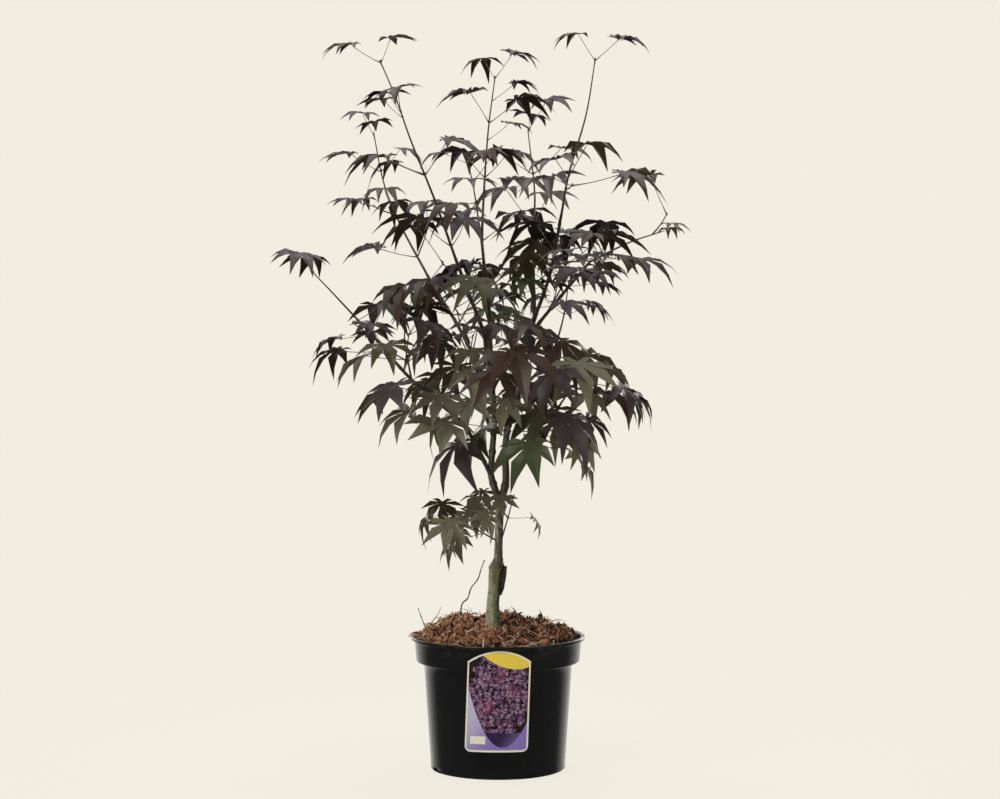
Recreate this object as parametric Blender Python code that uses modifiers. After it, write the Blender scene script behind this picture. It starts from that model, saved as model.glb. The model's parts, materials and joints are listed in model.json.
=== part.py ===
"""A young red-leaved Japanese maple in its nursery pot.

Metres, +Z up. The pot stands on its flat underside, whose middle is the origin, and its label
faces -Y. The trunk rises from the soil to a fork and carries two stems, the stems carry boughs,
and each bough, stem and part of the trunk carries foliage: a stem of its own with opposite pairs
of leaves, each pair turned a quarter from the one below. Touching pieces stay GAP apart.
"""

import math
import random
from typing import NamedTuple

import bmesh
import bpy
from mathutils import Matrix, Quaternion, Vector, noise
from mathutils.bvhtree import BVHTree

# ---------------------------------------------------------------- driving sizes

GAP = 0.0003
UP = Vector((0.0, 0.0, 1.0))

POT_HEIGHT = 0.1765
POT_STEPS = 32
POT_WALL = 0.0016
LIP_RADIUS = 0.115
LIP_HEIGHT = 0.0047
COLLAR_TOP = 0.1106
COLLAR_FOOT = 0.1084
COLLAR_HEIGHT = 0.0285
SHOULDER_RADIUS = 0.0982
SHOULDER_DROP = 0.0030
BASE_RADIUS = 0.0895
BASE_CORNER = 0.0022
NOTCH = (0.012, 0.022, 0.006)
NOTCH_BEARINGS = (-65.0, 26.0, 116.0, 206.0)

SOIL_EDGE = 0.1690
SOIL_CROWN = 0.0235
SOIL_RINGS = 5
SOIL_ROUGHNESS = 0.0036
SEAT_RADIUS = 0.0225

LABEL_WIDTH = 0.083
LABEL_TOP = 0.1712
LABEL_FOOT = 0.0402
LABEL_ARCH = 0.0142
ARCH_STEPS = 12
LABEL_LEAN = 0.038
LABEL_CARD = 0.0008

TRUNK_X = -0.0066
TRUNK_SIDES = 10
# height above the underside, offset along X from TRUNK_X, radius
TRUNK_RINGS = (
    (0.1883, 0.0003, 0.0122),
    (0.1915, 0.0003, 0.0103),
    (0.1980, 0.0002, 0.0093),
    (0.2110, 0.0001, 0.0090),
    (0.2225, 0.0006, 0.0085),
    (0.2440, 0.0026, 0.0088),
    (0.2560, 0.0030, 0.0094),
    (0.2610, 0.0036, 0.0104),
    (0.2660, 0.0036, 0.0116),
    (0.2692, 0.0045, 0.0108),
    (0.2724, 0.0054, 0.0090),
    (0.2780, 0.0070, 0.0064),
    (0.2860, 0.0071, 0.0059),
    (0.3160, 0.0077, 0.0055),
    (0.3430, 0.0084, 0.0056),
    (0.3590, 0.0089, 0.0062),
)
# the cut-off stub beside the graft: foot and tip offsets from TRUNK_X, and radii
STUB_FOOT = (0.0085, -0.0010, 0.2300)
STUB_TIP = (0.0135, -0.0015, 0.2670)
STUB_RADII = (0.0040, 0.0047)

LIMB_SIDES = 8
LIMB_STEP = 0.024
# limbs that leave the same parent closer than this, as a share of its length, meet at their feet
FORK_REACH = 0.11
TWIG_SIDES = 4
TWIG_STEP = 0.036


class Limb(NamedTuple):
    """A stem or bough: what it grows from and how far along, its way, and its two radii."""

    parent: str
    share: float
    route: tuple
    foot: float
    tip: float


LIMBS = {
    "left_stem": Limb(
        "trunk", 0.975,
        ((-0.008, -0.004, 0.383), (-0.009, -0.005, 0.403), (-0.005, -0.006, 0.463),
         (-0.009, -0.004, 0.522)), 0.0045, 0.0036,
    ),
    "right_stem": Limb(
        "trunk", 0.975,
        ((0.010, 0.004, 0.378), (0.010, 0.010, 0.429), (0.019, 0.020, 0.495),
         (0.029, 0.025, 0.541), (0.049, 0.030, 0.599)), 0.0050, 0.0034,
    ),
    "centre_bough": Limb(
        "left_stem", 1.0, ((-0.012, 0.010, 0.609), (-0.019, 0.020, 0.672)), 0.0032, 0.0024,
    ),
    "left_tall_bough": Limb(
        "left_stem", 0.90, ((-0.018, -0.030, 0.574), (-0.032, -0.050, 0.614),
                            (-0.055, -0.070, 0.675)), 0.0030, 0.0021,
    ),
    "left_leaning_bough": Limb(
        "left_stem", 0.80, ((-0.027, 0.020, 0.530), (-0.047, 0.050, 0.574),
                            (-0.078, 0.080, 0.625), (-0.097, 0.100, 0.656)), 0.0028, 0.0020,
    ),
    "left_arm": Limb(
        "left_stem", 0.22, ((-0.042, -0.040, 0.454), (-0.079, -0.070, 0.490),
                            (-0.116, -0.080, 0.523), (-0.158, -0.090, 0.572)), 0.0029, 0.0018,
    ),
    "right_middle_bough": Limb(
        "right_stem", 1.0, ((0.047, 0.060, 0.664), (0.046, 0.090, 0.714)), 0.0026, 0.0019,
    ),
    "right_tall_bough": Limb(
        "right_stem", 0.94, ((0.068, -0.010, 0.654), (0.082, -0.060, 0.731)), 0.0027, 0.0019,
    ),
    "right_arm": Limb(
        "right_stem", 0.88, ((0.084, 0.035, 0.626), (0.123, 0.045, 0.672)), 0.0025, 0.0018,
    ),
    "front_bough": Limb(
        "right_stem", 0.34, ((0.022, -0.035, 0.478), (0.030, -0.085, 0.520)), 0.0024, 0.0017,
    ),
    "back_bough": Limb(
        "left_stem", 0.52, ((-0.022, 0.050, 0.485), (-0.038, 0.100, 0.530)), 0.0024, 0.0017,
    ),
    "low_right_bough": Limb(
        "right_stem", 0.22, ((0.045, -0.015, 0.450), (0.078, -0.045, 0.480)), 0.0024, 0.0016,
    ),
    "back_right_bough": Limb(
        "right_stem", 0.55, ((0.055, 0.075, 0.525), (0.080, 0.125, 0.560)), 0.0023, 0.0016,
    ),
}


class Spray(NamedTuple):
    """A mass of foliage. Its stem has a parent, share, route and foot radius like a limb's."""

    parent: str
    share: float
    route: tuple
    foot: float
    pairs: int  # opposite pairs of leaves along the stem
    first: float  # how far along the stem the lowest pair is
    bearing: float  # degrees round from +X to the lowest pair
    low: float  # length of the middle lobe on the lowest leaf
    high: float  # and on the highest
    twigs: int  # side twigs, each in the place of one leaf of a pair, from the lowest pair up
    seed: int


SPRAYS = {
    "left_spire": Spray(
        "left_tall_bough", 1.0,
        ((-0.081, -0.085, 0.749), (-0.111, -0.095, 0.824), (-0.130, -0.100, 0.878),
         (-0.150, -0.100, 0.925)),
        0.0019, 4, 0.06, 110, 0.066, 0.042, 0, 20,
    ),
    "right_spire": Spray(
        "right_tall_bough", 1.0,
        ((0.091, -0.090, 0.783), (0.112, -0.110, 0.856), (0.123, -0.125, 0.925)),
        0.0018, 2, 0.25, 65, 0.057, 0.046, 0, 19,
    ),
    "centre_spire": Spray(
        "centre_bough", 1.0,
        ((-0.021, 0.025, 0.715), (-0.014, 0.036, 0.835), (-0.004, 0.045, 0.918)),
        0.0022, 4, 0.11, 35, 0.062, 0.046, 0, 35,
    ),
    "left_leaning_spray": Spray(
        "left_leaning_bough", 1.0,
        ((-0.134, 0.130, 0.724), (-0.157, 0.150, 0.780), (-0.172, 0.165, 0.850)),
        0.0018, 4, 0.13, 175, 0.049, 0.041, 1, 2,
    ),
    "right_middle_spire": Spray(
        "right_middle_bough", 1.0,
        ((0.050, 0.110, 0.764), (0.041, 0.130, 0.853)),
        0.0018, 3, 0.07, 95, 0.059, 0.047, 0, 24,
    ),
    "left_arm_spray": Spray(
        "left_arm", 1.0,
        ((-0.213, -0.090, 0.631), (-0.237, -0.090, 0.656)),
        0.0017, 2, 0.02, 0, 0.042, 0.045, 0, 5,
    ),
    "right_arm_spray": Spray(
        "right_arm", 1.0,
        ((0.174, 0.050, 0.697), (0.218, 0.050, 0.712)),
        0.0017, 2, 0.17, 160, 0.065, 0.031, 0, 21,
    ),
    "centre_spray": Spray(
        "centre_bough", 0.93,
        ((-0.024, -0.020, 0.714), (-0.031, -0.080, 0.763), (-0.038, -0.110, 0.796)),
        0.0016, 3, 0.62, 10, 0.056, 0.040, 0, 1,
    ),
    "left_arm_low": Spray(
        "left_arm", 0.5,
        ((-0.091, -0.110, 0.503), (-0.087, -0.128, 0.505)),
        0.0014, 3, 0.17, 165, 0.066, 0.066, 1, 14,
    ),
    "left_arm_upper": Spray(
        "left_arm", 0.72,
        ((-0.120, -0.082, 0.569), (-0.118, -0.080, 0.602)),
        0.0014, 2, 0.28, 0, 0.055, 0.063, 1, 30,
    ),
    "left_mid": Spray(
        "left_tall_bough", 0.6,
        ((-0.053, -0.097, 0.650), (-0.070, -0.125, 0.667)),
        0.0015, 2, 0.02, 150, 0.070, 0.057, 1, 22,
    ),
    "right_mid": Spray(
        "right_arm", 0.3,
        ((0.085, -0.005, 0.641), (0.088, -0.025, 0.667)),
        0.0014, 3, 0.68, 5, 0.056, 0.064, 0, 22,
    ),
    "front_right": Spray(
        "right_tall_bough", 0.6,
        ((0.100, -0.085, 0.670), (0.125, -0.115, 0.672)),
        0.0014, 3, 0.80, 170, 0.049, 0.048, 0, 21,
    ),
    "centre_mid": Spray(
        "centre_bough", 0.6,
        ((0.012, -0.045, 0.624), (0.025, -0.085, 0.628)),
        0.0015, 2, 0.02, 170, 0.061, 0.045, 0, 36,
    ),
    "back_right_high": Spray(
        "right_middle_bough", 0.6,
        ((0.086, 0.115, 0.670), (0.110, 0.150, 0.675)),
        0.0015, 3, 0.35, 30, 0.071, 0.036, 1, 19,
    ),
    "back_left": Spray(
        "left_leaning_bough", 0.55,
        ((-0.054, 0.115, 0.598), (-0.060, 0.155, 0.610)),
        0.0015, 3, 0.31, 100, 0.047, 0.056, 1, 3,
    ),
    "right_shoulder": Spray(
        "right_stem", 0.74,
        ((0.072, -0.010, 0.522), (0.100, -0.030, 0.506)),
        0.0015, 4, 0.32, 15, 0.068, 0.066, 0, 8,
    ),
    "right_low": Spray(
        "low_right_bough", 1.0,
        ((0.095, -0.065, 0.507), (0.105, -0.070, 0.520)),
        0.0016, 2, 0.72, 15, 0.060, 0.061, 0, 36,
    ),
    "right_droop": Spray(
        "low_right_bough", 0.5,
        ((0.052, -0.060, 0.447), (0.052, -0.085, 0.450)),
        0.0014, 2, 0.07, 25, 0.063, 0.056, 0, 10,
    ),
    "lower_left": Spray(
        "left_stem", 0.5,
        ((-0.026, -0.045, 0.496), (-0.038, -0.075, 0.535)),
        0.0016, 3, 0.17, 170, 0.059, 0.040, 1, 30,
    ),
    "centre_left": Spray(
        "left_leaning_bough", 0.3,
        ((-0.043, -0.012, 0.558), (-0.050, -0.030, 0.575)),
        0.0016, 2, 0.35, 170, 0.063, 0.066, 0, 31,
    ),
    "centre_right": Spray(
        "right_stem", 0.9,
        ((0.020, -0.010, 0.614), (-0.003, -0.040, 0.637)),
        0.0014, 3, 0.54, 80, 0.030, 0.059, 0, 1,
    ),
    "centre_front": Spray(
        "front_bough", 1.0,
        ((0.016, -0.115, 0.538), (-0.005, -0.135, 0.550)),
        0.0016, 2, 0.85, 105, 0.073, 0.066, 0, 17,
    ),
    "centre_low": Spray(
        "front_bough", 0.45,
        ((0.044, -0.060, 0.493), (0.057, -0.085, 0.507)),
        0.0014, 2, 0.51, 20, 0.033, 0.063, 1, 25,
    ),
    "centre_back": Spray(
        "back_bough", 1.0,
        ((-0.038, 0.130, 0.549), (-0.035, 0.150, 0.570)),
        0.0016, 3, 0.18, 110, 0.065, 0.048, 1, 12,
    ),
    "back_right": Spray(
        "back_right_bough", 1.0,
        ((0.091, 0.150, 0.600), (0.098, 0.165, 0.645)),
        0.0016, 3, 0.02, 95, 0.044, 0.033, 1, 29,
    ),
    "skirt_left": Spray(
        "trunk", 0.66,
        ((-0.034, -0.010, 0.321), (-0.061, -0.018, 0.333)),
        0.0013, 2, 0.35, 150, 0.045, 0.046, 1, 6,
    ),
    "skirt_back": Spray(
        "trunk", 0.8,
        ((-0.024, 0.022, 0.333), (-0.050, 0.036, 0.330)),
        0.0012, 2, 0.68, 140, 0.034, 0.047, 0, 16,
    ),
    "skirt_right": Spray(
        "trunk", 0.6,
        ((0.012, -0.006, 0.329), (0.021, -0.010, 0.363)),
        0.0012, 1, 0.59, 5, 0.036, 0.060, 1, 32,
    ),
}

SPRAY_TIP = 0.0010
INTERNODE_RATIO = 0.86
TURN_PER_PAIR = 90.0
TURN_JITTER = 14.0
SIZE_JITTER = 0.12
STALK_RADII = (0.0007, 0.0006)
STALK_SINK = 0.0005
STALK_PER_LOBE = 0.92
STALK_RISES = ((0.30, 12.0), (0.60, 24.0), (0.95, 46.0))
STALK_LIFT = 0.20
# how far a blade's tip hangs below level, in degrees, at these heights
NODS = ((0.30, 52.0), (0.46, 44.0), (0.58, 16.0), (0.72, 5.0), (0.95, 0.0))
# the most that a stalk's rise and its blade's nod may come to between them
MOST_FOLD = 84.0
BLADE_ROLL = 14.0
# a side twig: its angle from the stem's square, its foot radius, its length and its leaves'
# length as shares of the leaf in whose place it stands
TWIG_RISE = 40.0
TWIG_RADIUS = 0.0011
TWIG_SHARE = 0.85
TWIG_LEAF_SHARE = 0.88

# main lobes of one half of a leaf, from the middle outward: bearing and share of length
LOBES = ((0.0, 1.00), (38.0, 0.93), (78.0, 0.74))
# the cut beside each lobe, and the small lobe at the leaf's foot, in the same terms
CUTS = ((19.0, 0.24), (58.0, 0.22), (124.0, 0.34))
SHOULDER = 0.47
SHOULDER_WIDTH = 0.128
LEAF_FOOT = 0.07
# a lobe's height is ARCH_RISE * r - ARCH_DROOP * r**2 / length at r from the leaf's middle
ARCH_RISE = 0.16
ARCH_DROOP = 0.52
LEAF_CORE = 0.0016
CLEARANCE = 0.0007
# how far from its foot a stalk must be clear of other pieces, and of its own stem
NEAR_START = 0.0025
OWN_START = 0.0060
FOOT_REACH = 0.0080
LAST_PAIR = 0.99
# turns, in degrees, that a leaf tries when its first place is taken
TRIES = (0, 14, -14, 28, -28, 44, -44, 62, -62)

# colour, roughness, coat
FINISHES = {
    "pot_plastic": ((0.018, 0.018, 0.019), 0.32, 0.3),
    "coir_mulch": ((0.30, 0.14, 0.07), 0.95, 0.0),
    "label_card": ((0.35, 0.25, 0.45), 0.35, 0.2),
    "trunk_bark": ((0.20, 0.19, 0.11), 0.80, 0.0),
    "young_bark": ((0.11, 0.085, 0.075), 0.65, 0.0),
    "maple_leaf": ((0.075, 0.050, 0.055), 0.60, 0.0),
}


# ---------------------------------------------------------------- general helpers


def clear_scene():
    """Removes every object of the file that the script starts in."""
    for obj in list(bpy.data.objects):
        bpy.data.objects.remove(obj)


def collection(name, hidden=False):
    made = bpy.data.collections.new(name)
    made.hide_render = hidden
    bpy.context.scene.collection.children.link(made)
    return made


def material(name):
    """The named finish as a material with one Principled shader."""
    if name in bpy.data.materials:
        return bpy.data.materials[name]
    colour, roughness, coat = FINISHES[name]
    made = bpy.data.materials.new(name)
    made.use_nodes = True
    shader = made.node_tree.nodes["Principled BSDF"]
    shader.inputs["Base Color"].default_value = (*colour, 1.0)
    shader.inputs["Roughness"].default_value = roughness
    shader.inputs["Coat Weight"].default_value = coat
    made.diffuse_color = (*colour, 1.0)
    return made


def add_object(name, data, home):
    obj = bpy.data.objects.new(name, data)
    home.objects.link(obj)
    return obj


def mesh_object(name, shape, home):
    """A new object from a bmesh, which is freed."""
    mesh = bpy.data.meshes.new(name)
    shape.to_mesh(mesh)
    shape.free()
    return add_object(name, mesh, home)


def apply_modifiers(obj):
    """Replaces the object's mesh with the one that its modifiers make."""
    graph = bpy.context.evaluated_depsgraph_get()
    done = bpy.data.meshes.new_from_object(obj.evaluated_get(graph), depsgraph=graph)
    obj.modifiers.clear()
    obj.data = done


def boolean(obj, operation, other, solver="EXACT"):
    """Adds, cuts or keeps the overlap with another object, or with each one of a collection."""
    step = obj.modifiers.new(operation.lower(), "BOOLEAN")
    step.operation = operation
    step.solver = solver
    if isinstance(other, bpy.types.Collection):
        step.operand_type = "COLLECTION"
        step.collection = other
    else:
        step.object = other
    apply_modifiers(obj)


def turned(name, profile, steps, home):
    """A solid of revolution about Z, from (radius, height) points going down its outer side."""
    mesh = bpy.data.meshes.new(name)
    edges = [(i, (i + 1) % len(profile)) for i in range(len(profile))]
    on_axis = [i for i, point in enumerate(profile) if point[0] == 0.0]
    if len(on_axis) == 2:
        edges.remove(tuple(on_axis))
    mesh.from_pydata([(r, 0.0, z) for r, z in profile], edges, [])
    obj = add_object(name, mesh, home)
    screw = obj.modifiers.new("turn", "SCREW")
    screw.steps = steps
    screw.render_steps = steps
    screw.use_merge_vertices = True
    screw.merge_threshold = 0.00001
    apply_modifiers(obj)
    return obj


# ---------------------------------------------------------------- pot, soil and label


def pot_profile():
    """(radius, height) round the pot's section, from the lip down the outside and up the inside."""
    under_lip = POT_HEIGHT - LIP_HEIGHT
    collar_foot = under_lip - COLLAR_HEIGHT
    shoulder = collar_foot - SHOULDER_DROP
    half_lip = 0.0009
    floor = POT_WALL * 1.1
    return [
        (LIP_RADIUS - half_lip, POT_HEIGHT),
        (LIP_RADIUS, POT_HEIGHT - half_lip),
        (LIP_RADIUS, under_lip + half_lip),
        (LIP_RADIUS - half_lip, under_lip),
        (COLLAR_TOP, under_lip),
        (COLLAR_FOOT, collar_foot),
        (SHOULDER_RADIUS, shoulder),
        (BASE_RADIUS, BASE_CORNER),
        (BASE_RADIUS - BASE_CORNER, 0.0),
        (0.0, 0.0),
        (0.0, floor),
        (BASE_RADIUS - BASE_CORNER - 0.4 * POT_WALL, floor),
        (BASE_RADIUS - POT_WALL, BASE_CORNER + POT_WALL),
        (SHOULDER_RADIUS - POT_WALL, shoulder + 0.5 * POT_WALL),
        (COLLAR_FOOT - POT_WALL, collar_foot + POT_WALL),
        (COLLAR_TOP - POT_WALL, under_lip),
        (COLLAR_TOP - 0.5 * POT_WALL, POT_HEIGHT),
    ]


def build_pot(parts, cutters):
    """The moulded pot: rolled lip, collar, tapered wall, and four drain notches in its foot."""
    pot = turned("pot", pot_profile(), POT_STEPS, parts)
    depth, width, height = NOTCH
    for bearing in NOTCH_BEARINGS:
        turn = Matrix.Rotation(math.radians(bearing - 90.0), 4, "Z")
        box = bmesh.new()
        bmesh.ops.create_cube(box, size=1.0)
        bmesh.ops.scale(box, vec=(2.0 * depth, width, 2.0 * height), verts=box.verts)
        bmesh.ops.transform(
            box, matrix=turn @ Matrix.Translation((BASE_RADIUS, 0.0, 0.0)), verts=box.verts
        )
        cutter = mesh_object("notch_cutter", box, cutters)
        cutter.display_type = "WIRE"
        boolean(pot, "DIFFERENCE", cutter)
        bpy.data.objects.remove(cutter)
    pot.data.materials.append(material("pot_plastic"))
    return pot


def soil_height(radius, edge):
    """Height of the mulch's smooth crown at this distance from the pot's axis."""
    return SOIL_EDGE + SOIL_CROWN * max(0.0, 1.0 - (radius / edge) ** 2) ** 0.8


def build_soil(parts):
    """Soil that fills the pot, mounded and rough on top, with a flat seat for the trunk."""
    outer = [(r, z) for r, z in pot_profile()[11:16]]
    sides = [(r - GAP, z) for r, z in outer]
    edge = sides[-1][0]
    foot = sides[0][1] + GAP
    profile = [(edge - 0.0005, SOIL_EDGE), *reversed(sides[1:-1]), (sides[0][0], foot), (0.0, foot)]
    rings = [edge * i / SOIL_RINGS for i in range(SOIL_RINGS)]
    profile += [(r, soil_height(r, edge)) for r in rings]
    soil = turned("soil", profile, POT_STEPS, parts)
    seat_height = TRUNK_RINGS[0][0] - GAP
    for vertex in soil.data.vertices:
        place = vertex.co
        if place.z <= SOIL_EDGE + 1e-5:
            continue
        if place.xy.length < SEAT_RADIUS:
            place.z = seat_height
        else:
            place.z += SOIL_ROUGHNESS * noise.noise(place * 60.0)
    soil.data.materials.append(material("coir_mulch"))
    return soil


def build_label(parts, cutters):
    """The picture card on the front: a thin sheet bent round the collar, with an arched top. It
    leans a little to the right."""
    inner = COLLAR_TOP + GAP
    outer = inner + LABEL_CARD
    half = LABEL_WIDTH / 2.0
    sheet = turned(
        "label",
        [(outer, LABEL_TOP + LABEL_ARCH), (outer, LABEL_FOOT), (inner, LABEL_FOOT),
         (inner, LABEL_TOP + LABEL_ARCH)],
        90, parts,
    )
    outline = bpy.data.curves.new("label_outline", "CURVE")
    outline.dimensions = "2D"
    outline.fill_mode = "BOTH"
    outline.extrude = 0.05
    shares = [1.0 - 2.0 * i / ARCH_STEPS for i in range(ARCH_STEPS + 1)]
    arch = [(half * share, LABEL_TOP - LABEL_ARCH * share**2) for share in shares]
    corners = [*arch, (-half, LABEL_FOOT + 0.0005), (half, LABEL_FOOT + 0.0005)]
    spline = outline.splines.new("POLY")
    spline.points.add(len(corners) - 1)
    middle = (LABEL_TOP + LABEL_FOOT) / 2.0
    for point, (x, z) in zip(spline.points, corners):
        point.co = (x + LABEL_LEAN * (z - middle), z, 0.0, 1.0)
    spline.use_cyclic_u = True
    cutter = add_object("label_cutter", curve_mesh(outline), cutters)
    cutter.data.transform(
        Matrix.Translation((0.0, -outer, 0.0)) @ Matrix.Rotation(math.radians(90.0), 4, "X")
    )
    boolean(sheet, "INTERSECT", cutter)
    bpy.data.objects.remove(cutter)
    sheet.data.materials.append(material("label_card"))
    return sheet


# ---------------------------------------------------------------- trunk and limbs


class Way:
    """A smooth line through some points, with the place and heading at any share of its length.
    Its radius runs evenly from the first to the second of radii."""

    def __init__(self, knots, radii, step):
        ends = [2 * knots[0] - knots[1], *knots, 2 * knots[-1] - knots[-2]]
        self.points = []
        for i in range(len(knots) - 1):
            steps = max(1, round((knots[i + 1] - knots[i]).length / step))
            a, b, c, d = ends[i : i + 4]
            for part in range(steps):
                t = part / steps
                self.points.append(
                    0.5 * (2 * b + (c - a) * t + (2 * a - 5 * b + 4 * c - d) * t * t
                           + (3 * b - a - 3 * c + d) * t**3)
                )
        self.points.append(knots[-1].copy())
        self.reach = [0.0]
        for a, b in zip(self.points, self.points[1:]):
            self.reach.append(self.reach[-1] + (b - a).length)
        self.length = self.reach[-1]
        self.radii = [
            radii[0] + (radii[1] - radii[0]) * reach / self.length for reach in self.reach
        ]

    def at(self, share):
        """Place and heading at this share of the length."""
        want = share * self.length
        i = 1
        while i < len(self.points) - 1 and self.reach[i] < want:
            i += 1
        a, b = self.points[i - 1], self.points[i]
        along = (want - self.reach[i - 1]) / (self.reach[i] - self.reach[i - 1])
        return a.lerp(b, along), (b - a).normalized()


def curve_mesh(curve):
    """The closed mesh that a curve makes, with its caps welded on."""
    holder = bpy.data.objects.new("curve_holder", curve)
    mesh = bpy.data.meshes.new_from_object(holder)
    bpy.data.objects.remove(holder)
    shape = bmesh.new()
    shape.from_mesh(mesh)
    bmesh.ops.remove_doubles(shape, verts=shape.verts, dist=1e-6)
    bmesh.ops.recalc_face_normals(shape, faces=shape.faces)
    shape.to_mesh(mesh)
    shape.free()
    return mesh


def tube_mesh(points, radii, sides):
    """A closed tube of this many sides, with a radius at each point."""
    curve = bpy.data.curves.new("tube", "CURVE")
    curve.dimensions = "3D"
    curve.bevel_depth = 1.0
    curve.bevel_resolution = (sides - 4) // 2
    curve.use_fill_caps = True
    spline = curve.splines.new("POLY")
    spline.points.add(len(points) - 1)
    for end, place, radius in zip(spline.points, points, radii):
        end.co = (*place, 1.0)
        end.radius = radius
    return curve_mesh(curve)


def grown_mesh(way, sides, extra):
    """The limb's tube, thicker by extra and longer by extra at both ends."""
    first = way.points[0] - extra * (way.points[1] - way.points[0]).normalized()
    last = way.points[-1] + extra * (way.points[-1] - way.points[-2]).normalized()
    points = [first, *way.points[1:-1], last]
    return tube_mesh(points, [radius + extra for radius in way.radii], sides)


def trunk_way():
    """The trunk's rings as a way, with a radius to each."""
    knots = [Vector((TRUNK_X + x, 0.0, z)) for z, x, radius in TRUNK_RINGS]
    way = Way(knots, (1.0, 1.0), LIMB_STEP)
    way.points = knots
    way.reach = [0.0]
    for a, b in zip(knots, knots[1:]):
        way.reach.append(way.reach[-1] + (b - a).length)
    way.length = way.reach[-1]
    way.radii = [radius for z, x, radius in TRUNK_RINGS]
    return way


def limb_way(limb, tip_radius, step, ways):
    """The line of a limb, from the middle of its parent."""
    foot, heading = ways[limb.parent].at(limb.share)
    knots = [foot, *(Vector(point) for point in limb.route)]
    return Way(knots, (limb.foot, tip_radius), step)


def cut_clear(obj, other, ways, cutters):
    """Cuts from obj all that lies within GAP of the named limb."""
    sides = TRUNK_SIDES if other == "trunk" else LIMB_SIDES
    cutter = add_object("limb_cutter", grown_mesh(ways[other], sides, GAP), cutters)
    boolean(obj, "DIFFERENCE", cutter)
    bpy.data.objects.remove(cutter)


def build_trunk(way, parts, cutters):
    """The trunk: flared foot, grafted knee with its cut-off stub, and a slim upper part."""
    trunk = add_object("trunk", tube_mesh(way.points, way.radii, TRUNK_SIDES), parts)
    ends = [Vector((TRUNK_X + x, y, z)) for x, y, z in (STUB_FOOT, STUB_TIP)]
    stub = add_object("graft_stub", tube_mesh(ends, STUB_RADII, LIMB_SIDES), cutters)
    boolean(trunk, "UNION", stub)
    bpy.data.objects.remove(stub)
    trunk.data.materials.append(material("trunk_bark"))
    return trunk


def build_limb(name, ways, parts, cutters):
    """One stem or bough, cut to a saddle on its parent and on what forks beside it."""
    limb = LIMBS[name]
    obj = add_object(name, grown_mesh(ways[name], LIMB_SIDES, 0.0), parts)
    for other in list(LIMBS)[: list(LIMBS).index(name)]:
        beside = abs(LIMBS[other].share - limb.share) < FORK_REACH
        if LIMBS[other].parent == limb.parent and beside:
            cut_clear(obj, other, ways, cutters)
    cut_clear(obj, limb.parent, ways, cutters)
    obj.data.materials.append(material("young_bark"))
    return obj


# ---------------------------------------------------------------- foliage


def arched(point, length):
    """The point of a flat leaf lifted onto the leaf's arch."""
    reach = point.length
    return Vector((point.x, point.y, ARCH_RISE * reach - ARCH_DROOP * reach * reach / length))


def polar(bearing, reach):
    return Vector((math.cos(math.radians(bearing)), math.sin(math.radians(bearing)))) * reach


def leaf_outline(length, margin=0.0):
    """Points round a leaf whose middle lobe points along +X, from one side of its foot to the
    other: three points to a main lobe, one to a cut, and one to a small lobe at the foot."""
    half = []
    for (bearing, share), (cut, depth) in zip(LOBES, CUTS):
        size = length * share
        shoulder = polar(bearing, size * SHOULDER)
        width = polar(bearing + 90.0, size * SHOULDER_WIDTH + margin)
        if bearing > 0.0:
            half.append(shoulder - width)
        half += [polar(bearing, size + margin), shoulder + width]
        half.append(polar(cut, length * depth + margin))
    half.append(Vector((-LEAF_FOOT * length, STALK_RADII[1] + margin)))
    mirrored = [Vector((p.x, -p.y)) for p in reversed(half[1:])]
    return [arched(p, length) for p in [*mirrored, *half]]


def leaf_shape(leaf):
    """Vertices and faces of a leaf on its stalk. The blade is two fans from its thick middle to
    its thin outline, and the stalk is a three-sided tube from the blade's foot into the twig."""
    outline = leaf_outline(leaf.length)
    last = len(outline) - 1
    away = (leaf.middle - leaf.foot).normalized()
    across = leaf.frame.to_3x3() @ Vector((0.0, 1.0, 0.0))
    under = across.cross(away).normalized()
    across = away.cross(under)
    drop = leaf.frame.to_3x3().transposed() @ under
    drop = Vector((drop.x, 0.0, min(drop.z, -0.4))) * 2.0 * STALK_RADII[1]
    below = (outline[0] + outline[last]) / 2.0 + drop
    blade = [UP * LEAF_CORE / 2.0, -UP * LEAF_CORE / 2.0, below, *outline]
    points = [leaf.frame @ point for point in blade]
    ring = [across * -1.0 + under * -0.6, across + under * -0.6, under * 1.2]
    sunk = leaf.foot - away * STALK_SINK
    points += [sunk + STALK_RADII[0] * side for side in ring]
    right, left, low = 3, 3 + last, 2
    foot_right, foot_left, foot_low = range(len(points) - 3, len(points))
    faces = []
    for i in range(last):
        faces += [(0, right + i, right + i + 1), (1, right + i + 1, right + i)]
    faces += [(0, left, right), (1, low, left), (1, right, low)]
    faces += [(right, left, foot_left, foot_right), (left, low, foot_low, foot_left)]
    faces += [(low, right, foot_right, foot_low), (foot_right, foot_left, foot_low)]
    return points, faces


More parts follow.
